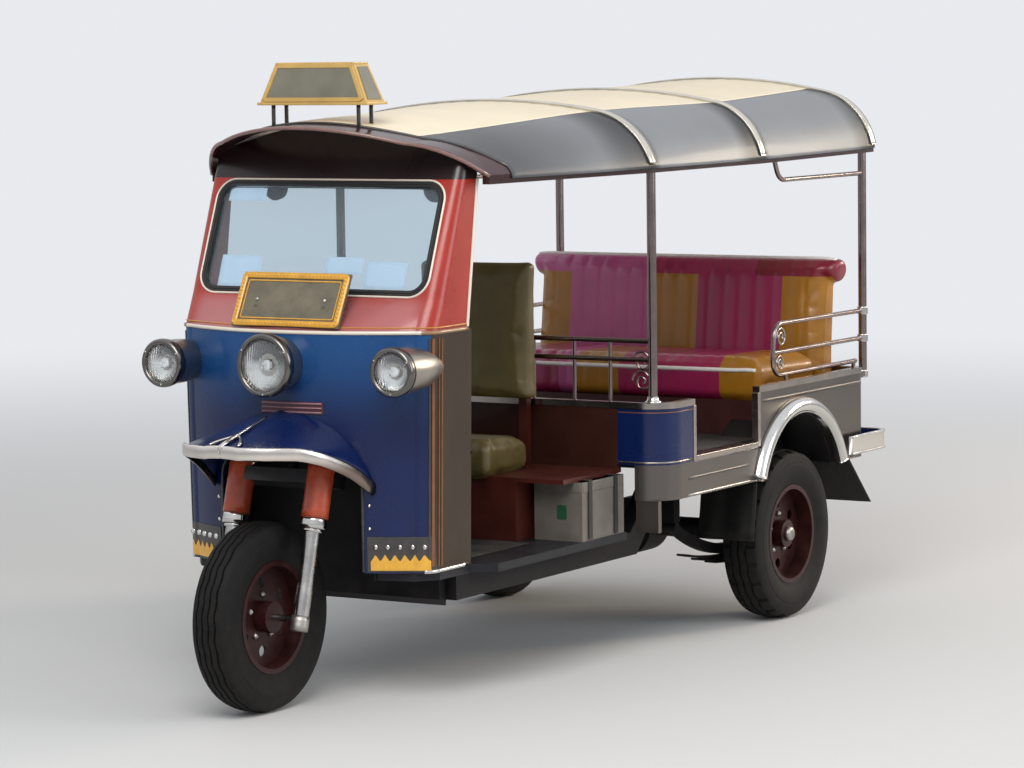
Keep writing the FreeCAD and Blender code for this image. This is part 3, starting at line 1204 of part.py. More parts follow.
roll_edge = "(%s - cushion_round)" % roll_radius
bolster = put(turned("Bolster", [
    ("-bolster_half_width", "0"),
    ("bolster_half_width", "0"),
    ("bolster_half_width", roll_edge),
    (roll_end, roll_radius, roll_end + " + cushion_round * sqrt(0.5)",
     roll_edge + " + cushion_round * sqrt(0.5)"),
    ("-" + roll_end, roll_radius),
    ("-bolster_half_width", roll_edge, "-(%s + cushion_round * sqrt(0.5))" % roll_end,
     roll_edge + " + cushion_round * sqrt(0.5)"),
]), "0", "backrest_front + backrest_lean + bolster_dia / 2 - 8", "backrest_top + 2 - bolster_dia / 2")
round_back = rounded(backrest, "cushion_round", lambda edge: True)
part("passenger_seat_back", fuse("BackWithBolster", round_back, bolster))

# Roof posts: two at the tub's front corners, two at its rear, from the cap rail up to the roof's side rails.
cap_top = "tub_wall_top + cap_height"
mid_post_x = "brow_half_width + 95 - rail_width / 2"
rear_post_x = "brow_half_width + 118 - rail_width / 2"
mid_post_y = "tub_front + tub_wall * 0.5 + 12"
rear_post_y = "(%s - rear_post_inset)" % roof_end
post_radius = "post_dia / 2"
mid_post = rod("MidPost", "Z", post_radius, cap_top, "1700", (mid_post_x, mid_post_y))
rear_post = rod("RearPost", "Z", post_radius, "rear_post_base", "1700", (rear_post_x, rear_post_y))
post_bracket = box("PostBracket", (rear_post_x + " - post_dia / 2", rear_post_x + " + post_dia / 2"),
                   ("tub_rear", rear_post_y), ("rear_post_base + 2", "rear_post_base + 18"))
under_rails = lofted("UnderRails", "XZ", [
    (station[0], [("-900", "400"), ("900", "400"), ("900", "%s - 2 - rail_height" % station[2]),
                  ("-900", "%s - 2 - rail_height" % station[2])]) for station in ROOF_STATIONS[1:]])
posts = common("PostsUnderRails", fuse("PostPair", mid_post, rear_post, post_bracket), under_rails)
all_posts = both_sides("PostsBothSides", posts)
part("canopy_posts", group("CanopyPostSet", all_posts))

# Rails: two across behind the driver, three along each side of the seat with a bowed front end, and one under each
# eave.
rail_radius = "handrail_dia / 2"
partition = [rod("Partition%d" % place, "X", rail_radius, "-(%s)" % mid_post_x, mid_post_x, (mid_post_y, z))
             for place, z in enumerate(("partition_high", "partition_low"))]
finial_bars = []
for place, x in enumerate(("150", "300", "430")):
    bar = rod("PartitionBar%d" % place, "Z", "6", cap_top, "partition_high", (x, mid_post_y))
    finial_bars += [bar, mirrored("PartitionBarRight%d" % place, bar)]
part("partition_rails", cut("PartitionRails", fuse("PartitionBars", *(partition + finial_bars)), all_posts))

arm_x = rear_post_x
arm_front = "(%s - arm_reach)" % rear_post_y
grab_front = "(%s - grab_reach)" % rear_post_y
rear_wall_top = "(tub_rear - tub_wall)"
arm_loop = bent_tube("ArmLoop", rail_radius, [
    (arm_x, rear_post_y, "arm_top"), (arm_x, arm_front, "arm_top"),
    (arm_x, arm_front + " - 22", "arm_low"), (arm_x, rear_wall_top + " + handrail_dia", "arm_low")], "52")
arm_bar = rod("ArmBar", "Y", rail_radius, arm_front + " - 9", rear_post_y, (arm_x, "arm_middle"))
arm_feet = [rod("ArmFoot%d" % place, "Z", "arm_foot_dia / 2", cap_top, "arm_low", (arm_x, y))
            for place, y in enumerate((arm_front + " + 80", rear_wall_top))]
grab = bent_tube("GrabRail", rail_radius, [
    (arm_x, grab_front, "1560"), (arm_x, grab_front + " + 40", "grab_height"),
    (arm_x, rear_post_y, "grab_height")],
    "60")
grab_rail = common("GrabUnderRail", grab, under_rails)
side_bars = cut("SideBars", fuse("SideBarSet", arm_loop, arm_bar, *arm_feet, grab_rail), all_posts)
part("passenger_rails", both_sides("PassengerRails", side_bars))

# Bright rim round the hood's edge.
lip_points = [(half, y, edge) for y, half, ridge, edge in HOOD_STATIONS]
lip_route = [("-(%s)" % half, y, edge) for half, y, edge in reversed(lip_points[2:6])]
lip_route += [("-70", "hood_nose + 18", "hood_edge_height - 2"),
              ("70", "hood_nose + 18", "hood_edge_height - 2")]
lip_route += lip_points[2:6]
lip = bent_tube("HoodRim", "hood_lip_dia / 2", lip_route, "90")
part("hood_lip", cut("HoodLip", cut("HoodRimOutsideHood", lip, hood_shell), cab_outer))

# Round driving mirrors hung inside the windscreen's header.
mirrors = []
for name, x in (("Left", "mirror_left"), ("Right", "-mirror_right")):
    disc = rod("MirrorDisc" + name, "Y", "mirror_dia / 2", "mirror_front", "mirror_front + mirror_thick",
               (x, "mirror_height"))
    stalk = rod("MirrorStalk" + name, "Z", "5", "mirror_height", "1700",
                (x, "mirror_front + mirror_thick / 2"))
    under_header = cut("MirrorUnder" + name, fuse("MirrorSolid" + name, disc, stalk), opened_shell)
    mirrors.append(common("Mirror" + name, under_header, under_roof))
part("cab_mirrors", group("CabMirrors", *mirrors))

# Check every object of the document, then write each sub-part to its own file.
doc.recompute()
failed = [thing.Name for thing in doc.Objects if "Invalid" in thing.State or "Error" in thing.State]
if failed:
    raise RuntimeError("failed objects: " + ", ".join(failed))
os.makedirs("parts", exist_ok=True)
for node in NODES:
    shape = node.Shape
    if shape.isNull() or not shape.isValid() or not shape.Solids:
        raise RuntimeError("no valid solid in " + node.Label)
    shape.exportStep(os.path.join("parts", node.Label + ".step"))
print(len(NODES), "sub-parts written")
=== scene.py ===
import math

import bpy
import numpy as np
from mathutils import Matrix, Vector
from mathutils.bvhtree import BVHTree


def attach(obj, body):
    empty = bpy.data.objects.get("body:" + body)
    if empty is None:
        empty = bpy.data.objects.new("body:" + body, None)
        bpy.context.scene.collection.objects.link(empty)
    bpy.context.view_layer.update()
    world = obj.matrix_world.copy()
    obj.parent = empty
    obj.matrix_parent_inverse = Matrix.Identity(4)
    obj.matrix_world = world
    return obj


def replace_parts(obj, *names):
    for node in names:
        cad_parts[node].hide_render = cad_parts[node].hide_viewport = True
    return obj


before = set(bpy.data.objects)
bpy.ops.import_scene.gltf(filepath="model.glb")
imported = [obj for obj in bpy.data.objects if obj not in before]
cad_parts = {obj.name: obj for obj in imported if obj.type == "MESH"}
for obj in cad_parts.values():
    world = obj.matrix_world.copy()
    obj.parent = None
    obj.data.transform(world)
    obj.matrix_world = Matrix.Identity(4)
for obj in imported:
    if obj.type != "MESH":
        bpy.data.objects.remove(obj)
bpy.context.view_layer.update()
scene = bpy.context.scene

# The photographer stood ahead of the rickshaw and to its left, a little above eye height, and held the camera
# almost level. The lens here is longer, so that the vehicle fills the frame from the same place.
camera = bpy.data.objects.new("camera", bpy.data.cameras.new("camera"))
scene.collection.objects.link(camera)
camera.data.sensor_width = 36.0
camera.data.lens = 130.0
camera.data.clip_end = 300
camera.location = (6.173, -10.091, 1.953)
camera.rotation_mode = "QUATERNION"
sight = Vector((-0.51412, 0.85268, -0.09285)).to_track_quat("-Z", "Y")
camera.rotation_quaternion = sight @ Matrix.Rotation(math.radians(-0.77), 3, "Z").to_quaternion()
scene.camera = camera


# The studio: a pale floor, a pale room and three soft lamps, the warm one low behind the vehicle's left side. The
# floor fades into the room's colour far away.
def put(tree, socket, value):
    """Join a socket to another one, or set its value."""
    if isinstance(value, bpy.types.NodeSocket):
        tree.links.new(value, socket)
    else:
        socket.default_value = value


def add(tree, kind, settings=None, **values):
    """One shader node with its properties set, and its sockets set or joined by name."""
    made = tree.nodes.new("ShaderNode" + kind)
    for key, value in (settings or {}).items():
        setattr(made, key, value)
    for key, value in values.items():
        put(tree, next(s for s in made.inputs if s.name == key.replace("_", " ") and s.enabled), value)
    return made


def maths(tree, operation, first, second=0.0, clamp=False):
    made = add(tree, "Math", {"operation": operation, "use_clamp": clamp})
    for socket, value in zip(made.inputs, (first, second)):
        put(tree, socket, value)
    return made.outputs[0]


def ramp(tree, value, start, end, low=0.0, high=1.0, smooth=True):
    """A value's run from start to end carried to a run from low to high, and held beyond it."""
    return add(tree, "MapRange", {"interpolation_type": "SMOOTHSTEP" if smooth else "LINEAR"}, Value=value,
               From_Min=start, From_Max=end, To_Min=low, To_Max=high).outputs["Result"]


def mix(tree, factor, first, second, kind="RGBA"):
    made = add(tree, "Mix", {"data_type": kind}, Factor=factor, A=first, B=second)
    return next(s for s in made.outputs if s.enabled)


def position(tree):
    return add(tree, "SeparateXYZ", Vector=add(tree, "TexCoord").outputs["Object"]).outputs


def bare(name, **sockets):
    """A material of one shader, its sockets set by name."""
    material = bpy.data.materials.new(name)
    material.use_nodes = True
    for key, value in sockets.items():
        material.node_tree.nodes["Principled BSDF"].inputs[key.replace("_", " ")].default_value = value
    return material


def lamp(name, place, target, size, power, colour):
    light = bpy.data.lights.new(name, "AREA")
    light.shape, light.size, light.energy, light.color = "DISK", size, power, colour
    holder = bpy.data.objects.new(name, light)
    holder.location = place
    holder.rotation_mode = "QUATERNION"
    holder.rotation_quaternion = (Vector(target) - Vector(place)).to_track_quat("-Z", "Y")
    holder.visible_camera = False
    scene.collection.objects.link(holder)


lamp("sky_key", (2.5, -6.0, 6.5), (0, -0.2, 0.8), 5.0, 430, (1.0, 0.985, 0.96))
lamp("side_fill", (8.5, 1.5, 3.6), (0, 0.3, 0.9), 5.0, 210, (0.93, 0.96, 1.0))
lamp("low_sun", (4.5, 7.0, 3.2), (0.2, 0.6, 1.1), 2.4, 260, (1.0, 0.85, 0.66))

room_white, room_glow = (0.94, 0.96, 1.0, 1), 0.86
scene.world = bpy.data.worlds.new("pale_room")
scene.world.use_nodes = True
tree = scene.world.node_tree
tree.nodes.clear()
ray = add(tree, "LightPath").outputs
seen = maths(tree, "ADD", ray["Is Camera Ray"], ray["Is Transmission Ray"], True)
height = add(tree, "SeparateXYZ", Vector=add(tree, "TexCoord").outputs["Generated"]).outputs["Z"]
mirrored = maths(tree, "MULTIPLY", ramp(tree, height, -0.25, 0.55, 0.30, 1.0, False), ray["Is Glossy Ray"])
plain = maths(tree, "MULTIPLY", maths(tree, "SUBTRACT", 1.0, ray["Is Glossy Ray"]), 0.52)
strength = mix(tree, seen, maths(tree, "ADD", mirrored, plain), room_glow, "FLOAT")
room = add(tree, "Background", Color=room_white, Strength=strength)
add(tree, "OutputWorld", Surface=room.outputs["Background"])

floor_radius, floor_corners = 60, 96
floor_mesh = bpy.data.meshes.new("studio_floor")
floor_mesh.from_pydata([(math.cos(a) * floor_radius, math.sin(a) * floor_radius, 0)
                        for a in np.linspace(0, math.tau, floor_corners, False)], [], [list(range(floor_corners))])
studio_floor = bpy.data.objects.new("studio_floor", floor_mesh)
scene.collection.objects.link(studio_floor)
pale_floor = bare("pale_floor", Base_Color=(0.66, 0.66, 0.655, 1), Roughness=0.75)
tree = pale_floor.node_tree
ray = add(tree, "LightPath").outputs
distance = add(tree, "VectorMath", {"operation": "LENGTH"}, Vector=add(tree, "TexCoord").outputs["Object"])
far_away = ramp(tree, distance.outputs["Value"], 2.5, 13.0)
seen = maths(tree, "ADD", ray["Is Camera Ray"], ray["Is Transmission Ray"], True)
glow = maths(tree, "ADD", maths(tree, "MULTIPLY", seen, room_glow), maths(tree, "MULTIPLY", ray["Is Glossy Ray"], 0.50))
haze = add(tree, "Emission", Color=room_white, Strength=glow)
shown = maths(tree, "MULTIPLY", far_away, maths(tree, "ADD", seen, ray["Is Glossy Ray"], True))
blend = add(tree, "MixShader", Fac=shown)
put(tree, blend.inputs[1], tree.nodes["Principled BSDF"].outputs["BSDF"])
put(tree, blend.inputs[2], haze.outputs["Emission"])
put(tree, tree.nodes["Material Output"].inputs["Surface"], blend.outputs["Shader"])
studio_floor.data.materials.append(pale_floor)

# Tyres: moulded black rubber, ribbed in front and blocked behind, dulled by road dust. Each sits on its rim's beads
# and turns with it.
front_axle = -1.295
rear_axle = front_axle + 2.252
front_hub, rear_hub, half_track = 0.280, 0.284, 0.545
SIDES = (("left", 1), ("right", -1))


def at(x, y, z):
    """The point at a station counted back from the front axle."""
    return Vector((x, front_axle + y, z))


def dust_group():
    """Road dust and uneven colour that several finishes share: thick near the ground, thin higher up."""
    group = bpy.data.node_groups.new("road dust", "ShaderNodeTree")
    for name, kind, value in (("Colour", "Color", (0.5, 0.5, 0.5, 1)), ("Dust Colour", "Color", (0.30, 0.25, 0.20, 1)),
                              ("Dust", "Float", 0.4), ("Dust Height", "Float", 0.7), ("Mottle", "Float", 0.15),
                              ("Scale", "Float", 9.0), ("Roughness", "Float", 0.4), ("Grain", "Float", 260.0)):
        group.interface.new_socket(name, in_out="INPUT", socket_type="NodeSocket" + kind).default_value = value
    for name, kind in (("Colour", "Color"), ("Roughness", "Float"), ("Height", "Float")):
        group.interface.new_socket(name, in_out="OUTPUT", socket_type="NodeSocket" + kind)
    given = group.nodes.new("NodeGroupInput").outputs
    place = add(group, "TexCoord").outputs["Object"]
    broad = add(group, "TexNoise", Vector=place, Scale=given["Scale"], Detail=5.0, Roughness=0.6).outputs["Fac"]
    fine = add(group, "TexNoise", Vector=place, Scale=given["Grain"], Detail=2.0).outputs["Fac"]
    up = add(group, "SeparateXYZ", Vector=add(group, "NewGeometry").outputs["Normal"]).outputs["Z"]
    low = ramp(group, position(group)["Z"], given["Dust Height"], 0.0, smooth=False)
    settled = maths(group, "MULTIPLY", maths(group, "POWER", maths(group, "MAXIMUM", up, 0.0), 3.0), 0.35)
    patchy = ramp(group, broad, 0.35, 0.68, 0.25, smooth=False)
    amount = maths(group, "MULTIPLY", maths(group, "ADD", low, settled), patchy)
    mask = maths(group, "MULTIPLY", amount, given["Dust"], True)
    shade = ramp(group, broad, 0.3, 0.7, -1.0, smooth=False)
    factor = maths(group, "ADD", maths(group, "MULTIPLY", shade, given["Mottle"]), 1.0)
    mottled = add(group, "VectorMath", {"operation": "SCALE"}, Vector=given["Colour"], Scale=factor)
    rough = mix(group, mask, given["Roughness"], 0.85, "FLOAT")
    leave = group.nodes.new("NodeGroupOutput").inputs
    put(group, leave["Colour"], mix(group, mask, mottled.outputs["Vector"], given["Dust Colour"]))
    put(group, leave["Roughness"], maths(group, "ADD", rough, maths(group, "MULTIPLY", shade, 0.05), True))
    put(group, leave["Height"], maths(group, "ADD", maths(group, "MULTIPLY", fine, 0.5),
                                      maths(group, "MULTIPLY", mask, fine)))
    return group


ROAD_DUST = dust_group()


def emboss(material, height, distance, strength=1.0):
    """A height as relief on a material's shader."""
    tree = material.node_tree
    bump = add(tree, "Bump", Strength=strength, Distance=distance, Height=height)
    put(tree, tree.nodes["Principled BSDF"].inputs["Normal"], bump.outputs["Normal"])


def finish(name, colour, rough, dust=0.35, relief=0.0, metal=0.0, coat=0.0, mottle=0.12, scale=9.0, grain=260.0,
           dust_height=0.7, **sockets):
    """A dusty finish: colour, roughness and relief come from the dust group, the rest is set on the shader."""
    material = bare(name, Metallic=metal, Coat_Weight=coat, Coat_Roughness=0.07, **sockets)
    tree = material.node_tree
    shader = tree.nodes["Principled BSDF"]
    dusty = tree.nodes.new("ShaderNodeGroup")
    dusty.node_tree = ROAD_DUST
    for key, value in (("Colour", (*colour, 1)), ("Dust", dust), ("Mottle", mottle), ("Scale", scale),
                       ("Roughness", rough), ("Grain", grain), ("Dust Height", dust_height)):
        dusty.inputs[key].default_value = value
    put(tree, shader.inputs["Base Color"], dusty.outputs["Colour"])
    put(tree, shader.inputs["Roughness"], dusty.outputs["Roughness"])
    if relief:
        emboss(material, dusty.outputs["Height"], relief)
    return material


def wear(material, *nodes):
    """Give CAD pieces their finish."""
    for node in nodes:
        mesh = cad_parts[node].data
        mesh.materials.clear()
        mesh.materials.append(material)


def piece(name, shape, material, slot, body="body", smooth=True):
    """A visible piece from its points and faces, on a body. The slot argument is not used."""
    points, faces = shape
    mesh = bpy.data.meshes.new(name)
    mesh.from_pydata([tuple(p) for p in points], [], [tuple(f) for f in faces])
    mesh.update()
    mesh.materials.append(material)
    if smooth:
        mesh.shade_smooth()
    thing = bpy.data.objects.new(name, mesh)
    scene.collection.objects.link(thing)
    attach(thing, body)
    return thing


def grid_faces(rows, columns, round_rows=False, round_columns=False, start=0):
    """Quads between rows of points, closed round either way."""
    faces = []
    for r in range(rows if round_rows else rows - 1):
        for c in range(columns if round_columns else columns - 1):
            s, t = (r + 1) % rows, (c + 1) % columns
            faces.append(tuple(start + a * columns + b for a, b in ((r, c), (r, t), (s, t), (s, c))))
    return faces


def turned_over(faces):
    return [face[::-1] for face in faces]


def lathe(profile, centre, axis, steps=64):
    """Points and faces of a closed profile (along, radius) turned about X or Y through a centre."""
    points = []
    for turn in np.linspace(0, math.tau, steps, False):
        for along, radius in profile:
            a, b = radius * math.cos(turn), radius * math.sin(turn)
            points.append(Vector(centre) + Vector((along, a, b) if axis == "X" else (b, along, a)))
    return points, grid_faces(steps, len(profile), True, True)


rubber = finish("tyre_rubber", (0.0085, 0.008, 0.008), 0.66, dust=0.03, relief=0.0005, mottle=0.3, scale=30, grain=700,
                dust_height=0.62, Specular_IOR_Level=0.16)
# share of the width, share of the height from bead to tread
SIDE_WALL = [(0.33, 0.02), (0.37, 0.02), (0.385, 0.07), (0.41, 0.13), (0.415, 0.16), (0.43, 0.20), (0.462, 0.30),
             (0.484, 0.40), (0.494, 0.50), (0.494, 0.58), (0.486, 0.63), (0.482, 0.635), (0.476, 0.70), (0.464, 0.755),
             (0.452, 0.81), (0.436, 0.86), (0.415, 0.905)]


def tyre(name, diameter, width, centre, ribs, blocks, body, node):
    """Sidewalls with two moulded rings, and a tread cut by zigzag grooves and, on driven wheels, by cross slots."""
    bead, crown, shoulder, steps, repeat = 0.156, diameter / 2, 0.395, 288, 12
    points = []
    for step in range(steps):
        turn = step / steps * math.tau
        zigzag = abs((step % repeat) / 6 - 1) * 2 - 1
        section = [(-w, h) for w, h in SIDE_WALL]
        for share in np.linspace(-shoulder, shoulder, 61):
            drop = 0.075 * (abs(share) / shoulder) ** 2.6
            if any(abs(share - rib - 0.016 * zigzag) < 0.017 for rib in ribs):
                drop += 0.062
            elif blocks and step % repeat < 3 and abs(share) > 0.20:
                drop += 0.055
            section.append((share, 1 - drop))
        section += SIDE_WALL[::-1]
        for w, h in section:
            radius = bead + (crown - bead) * h
            points.append((centre[0] + w * width, centre[1] + radius * math.cos(turn),
                           centre[2] + radius * math.sin(turn)))
    made = piece(name, (points, grid_faces(steps, len(section), True, True)), rubber, "tyre_rubber", body, False)
    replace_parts(made, node)


tyre("front_tyre_ribbed", 0.560, 0.125, (0, front_axle, front_hub), (-0.25, -0.085, 0.085, 0.25), False,
     "front_wheel", "front_tyre")
for side, sign in SIDES:
    tyre("rear_tyre_blocked_" + side, 0.568, 0.145, (sign * half_track, rear_axle, rear_hub), (-0.19, 0.0, 0.19), True,
         "rear_wheel_" + side, "rear_tyre_" + side)

# Rims: pressed steel painted dark red, with a ring of nuts on both faces and a small dust cap behind. They turn with
# their wheels.
rim_paint = finish("rim_red", (0.026, 0.0035, 0.0035), 0.45, dust=0.03, relief=0.0002, coat=0.05, mottle=0.35, scale=24,
                   dust_height=0.75, Specular_IOR_Level=0.25)
nut_steel = finish("nut_steel", (0.42, 0.40, 0.37), 0.36, dust=0.30, metal=1.0, mottle=0.2, scale=60)
wear(rim_paint, "front_rim", "rear_rim_left", "rear_rim_right")


def nuts(name, centre, out, body):
    """Five hexagon nuts with domed ends round a hub, facing out along X."""
    circle, count, size = 0.066, 5, 0.0095
    points, faces = [], []
    for nut in range(count):
        turn = nut / count * math.tau + 0.3
        middle = Vector((0, circle * math.cos(turn), circle * math.sin(turn))) + Vector(centre)
        for along, share in ((0.0, 1.0), (0.7, 1.0), (0.95, 0.78), (1.25, 0.45), (1.4, 0.0)):
            for corner in range(6):
                angle = corner / 6 * math.tau + turn
                points.append(middle + Vector((out * size * along, math.cos(angle) * size * share,
                                               math.sin(angle) * size * share)))
        faces += grid_faces(5, 6, False, True, nut * 30)
    piece(name, (points, faces), nut_steel, "chrome", body, False)


for name, x, y, z, body in (("front_left", 0.0, front_axle, front_hub, "front_wheel"),
                            ("rear_left", half_track, rear_axle, rear_hub, "rear_wheel_left"),
                            ("rear_right", -half_track, rear_axle, rear_hub, "rear_wheel_right")):
    for face, out in (("outer", 1), ("inner", -1)):
        nuts("wheel_nuts_%s_%s" % (name, face), (x + out * 0.0035, y, z), out, body)
for side, sign in SIDES:
    cap = [(0.040, 0.0), (0.041, 0.024), (0.050, 0.0245), (0.0575, 0.022), (0.060, 0.016), (0.061, 0.0)]
    piece("hub_cap_" + side, lathe([(sign * a, r) for a, r in cap], (sign * half_track, rear_axle, rear_hub), "X", 40),
          nut_steel, "chrome", "rear_wheel_" + side)

# Fork: two orange shrouds with bright collars, bright lower legs, and a chromed bar with rubber grips and hand
# levers. All of it turns with the steering.
orange = finish("fork_orange", (0.42, 0.060, 0.020), 0.34, dust=0.06, relief=0.0001, coat=0.25, mottle=0.25, scale=26)
chrome = finish("bright_chrome", (0.62, 0.61, 0.59), 0.13, dust=0.22, metal=1.0, mottle=0.06, scale=14)
grip_rubber = finish("black_rubber", (0.014, 0.014, 0.014), 0.58, dust=0.10, relief=0.0003, mottle=0.2, scale=40,
                     grain=500)
rake = math.radians(16)


def repaint(material, colour, mask, keep_metal=True):
    """Paint the part of a finish where the mask is 1."""
    tree = material.node_tree
    inputs = tree.nodes["Principled BSDF"].inputs
    put(tree, inputs["Base Color"], mix(tree, mask, inputs["Base Color"].links[0].from_socket, colour))
    if not keep_metal:
        put(tree, inputs["Metallic"], maths(tree, "SUBTRACT", 1.0, mask))


# Painted shade: the fork above its shrouds, in the hood's shade, is painted near black.
fork_paint = orange.copy()
fork_paint.name = "fork_paint"
tree = fork_paint.node_tree
spot = position(tree)
up_the_leg = maths(tree, "ADD", maths(tree, "MULTIPLY", maths(tree, "SUBTRACT", spot["Y"], front_axle), math.sin(rake)),
                   maths(tree, "MULTIPLY", maths(tree, "SUBTRACT", spot["Z"], front_hub), math.cos(rake)))
repaint(fork_paint, (0.018, 0.016, 0.016, 1), maths(tree, "GREATER_THAN", up_the_leg, 0.394))
wear(fork_paint, "front_fork")
wear(finish("leg_chrome", (0.42, 0.41, 0.40), 0.20, dust=0.25, metal=1.0, mottle=0.15, scale=20), "fork_lower_legs")
wear(chrome, "handlebar")


def on_fork(x, y, z):
    """A point drawn upright about the front spindle, leaned back by the fork's rake."""
    return at(x, y * math.cos(rake) + z * math.sin(rake), front_hub - y * math.sin(rake) + z * math.cos(rake))


def smooth_path(points, count):
    """A curve through the points, sampled evenly in their order."""
    line = [Vector(p) for p in points]
    ends = [line[0] * 2 - line[1]] + line + [line[-1] * 2 - line[-2]]
    spans = len(line) - 1
    path = []
    for along in np.linspace(0, spans, count):
        span = min(int(along), spans - 1)
        t = along - span
        a, b, c, d = ends[span:span + 4]
        path.append(0.5 * (2 * b + (c - a) * t + (2 * a - 5 * b + 4 * c - d) * t ** 2
                           + (3 * b - a - 3 * c + d) * t ** 3))
    return path


def sweep(path, profile, up=(0, 0, 1), closed=False):
    """A profile (across, up) carried along a path. Across lies square to the path and to up."""
    points = []
    count, width = len(path), len(profile)
    for place, here in enumerate(path):
        ahead = path[(place + 1) % count] if closed else path[min(place + 1, count - 1)]
        behind = path[place - 1] if closed else path[max(place - 1, 0)]
        along = (ahead - behind).normalized()
        across = along.cross(Vector(up)).normalized()
        lifted = across.cross(along)
        points += [here + across * a + lifted * b for a, b in profile]
    faces = grid_faces(count, width, closed, True)
    if not closed:
        faces += [tuple(range(width))[::-1], tuple(range((count - 1) * width, count * width))]
    return points, faces


def ring(radius, sides=12):
    return [(radius * math.cos(a), radius * math.sin(a)) for a in np.linspace(0, math.tau, sides, False)]


def tube(name, path, radius, material, slot, up=(0, 0, 1), sides=12, closed=False, body="body"):
    piece(name, sweep([Vector(p) for p in path], ring(radius, sides), up, closed), material, slot, body)


leg_x = 0.140
for side, sign in SIDES:
    for name, low, high, stations, radius, sides, material, slot in (
            ("shroud", 0.300, 0.462, 8, 0.0400, 40, orange, "orange_paint"),
            ("collar", 0.268, 0.300, 4, 0.0372, 32, chrome, "chrome"),
            ("collar_lip", 0.258, 0.266, 4, 0.0300, 32, chrome, "chrome"),
            ("dust_seal", 0.296, 0.306, 4, 0.0295, 28, grip_rubber, "black_rubber"),
            ("axle_boss", -0.034, 0.010, 4, 0.0265, 28, nut_steel, "black_rubber")):
        tube("leg_%s_%s" % (name, side), [on_fork(sign * leg_x, 0, z) for z in np.linspace(low, high, stations)],
             radius, material, slot, (1, 0, 0), sides, body="steering")
    bar_end, bar_bend = on_fork(sign * 0.295, 0.300, 0.823), on_fork(sign * 0.171, 0.108, 0.797)
    outward = (bar_end - bar_bend).normalized()
    square = outward.cross(Vector((0, 0, 1))).normalized()
    lift = square.cross(outward)
    points = []
    for place, step in enumerate(np.linspace(0, 0.126, 49)):
        here = bar_end - outward * (0.118 - step)
        swell = 0.0185 if place < 3 or place > 45 else 0.0164 + 0.0010 * (place % 3 == 0)
        points += [here + square * a * swell + lift * b * swell for a, b in ring(1.0, 20)]
    faces = grid_faces(49, 20, False, True) + [tuple(range(20))[::-1], tuple(range(960, 980))]
    piece("grip_" + side, (points, faces), grip_rubber, "black_rubber", "steering")
    root = bar_end - outward * 0.135
    reach = Vector((sign * 0.006, -0.040, -0.004))
    lever = smooth_path([root + Vector((0, 0, 0.004)), root + reach, root + reach + outward * 0.05,
                         root + reach * 1.05 + outward * 0.12, root + reach * 0.8 + outward * 0.155], 20)
    piece("hand_lever_" + side, sweep(lever, [(a * 0.0045, b * 0.0075) for a, b in ring(1.0)]), chrome, "chrome",
          "steering")

# Chassis and running gear: ladder frame, tray, springs and axle in black paint under road dust, and an oily iron engine
# and silencer.
chassis_black = finish("chassis_black", (0.010, 0.009, 0.010), 0.50, dust=0.03, relief=0.0003, mottle=0.35, scale=12,
                       dust_height=0.8, Specular_IOR_Level=0.15)
oily_iron = finish("oily_iron", (0.060, 0.055, 0.050), 0.42, dust=0.25, relief=0.0006, metal=0.6, mottle=0.5, scale=22,
                   grain=120)
wear(chassis_black, "chassis_frame", "underbody_tray", "wheel_well", "leaf_springs", "rear_axle", "wheel_housings")
wear(oily_iron, "engine_block", "exhaust")


def plate(name, outline, low, high, material, slot, bevel, axis="Z"):
    """A flat outline drawn out along an axis, with its edges eased."""
    count = len(outline)
    order = {"X": (2, 0, 1), "Y": (0, 2, 1), "Z": (0, 1, 2)}[axis]
    points = [[(u, v, w)[k] for k in order] for w in (low, high) for u, v in outline]
    faces = [tuple(range(count))[::-1], tuple(range(count, count * 2))]
    faces += [(i, (i + 1) % count, count + (i + 1) % count, count + i) for i in range(count)]
    made = piece(name, (points, faces), material, slot, smooth=False)
    if bevel:
        ease = made.modifiers.new("eased_edges", "BEVEL")
        ease.width = bevel
        ease.segments = 3
        made.data.shade_smooth()
        made.modifiers.new("flat_faces", "WEIGHTED_NORMAL").keep_sharp = True


def oblong(u0, u1, v0, v1, corner, steps=5):
    """An oblong outline with rounded corners."""
    outline = []
    for cu, cv, start in ((u1 - corner, v0 + corner, -90), (u1 - corner, v1 - corner, 0),
                          (u0 + corner, v1 - corner, 90), (u0 + corner, v0 + corner, 180)):
        for step in range(steps + 1):
            angle = math.radians(start + 90 * step / steps)
            outline.append((cu + corner * math.cos(angle), cv + corner * math.sin(angle)))
    return outline


rail_x, strap_reach, strap_low = 0.400, 0.031, 0.205
for side, sign in SIDES:
    x = sign * rail_x
    for leaf, reach in enumerate((0.400, 0.300, 0.205)):
        top = 0.213 - leaf * 0.0085
        bow = [(rear_axle + u * reach, top + 0.055 * (reach / 0.464) ** 2 * u * u) for u in np.linspace(-1, 1, 21)]
        plate("under_leaf_%d_%s" % (leaf, side), bow + [(y, z - 0.0075) for y, z in reversed(bow)], x - 0.022,
              x + 0.022, chassis_black, "black_steel", 0.001, "X")
    for place in (-0.034, 0.034):
        y = rear_axle + place
        hoop = [(x + strap_reach * math.cos(a), y, 0.300 + strap_reach * math.sin(a))
                for a in np.linspace(math.pi, 0, 9)]
        tube("spring_strap_%s_%d" % (side, place > 0),
             [(x - strap_reach, y, strap_low)] + hoop + [(x + strap_reach, y, strap_low)], 0.0055, nut_steel, "chrome",
             (0, 1, 0), 8)
    drum = [(-0.054, 0.030), (-0.054, 0.118), (-0.048, 0.124), (-0.024, 0.126), (-0.008, 0.122), (-0.004, 0.060),
            (-0.004, 0.030)]
    piece("brake_drum_" + side, lathe([(sign * a, r) for a, r in drum], (sign * 0.522, rear_axle, rear_hub), "X", 48),
          chassis_black, "black_steel")
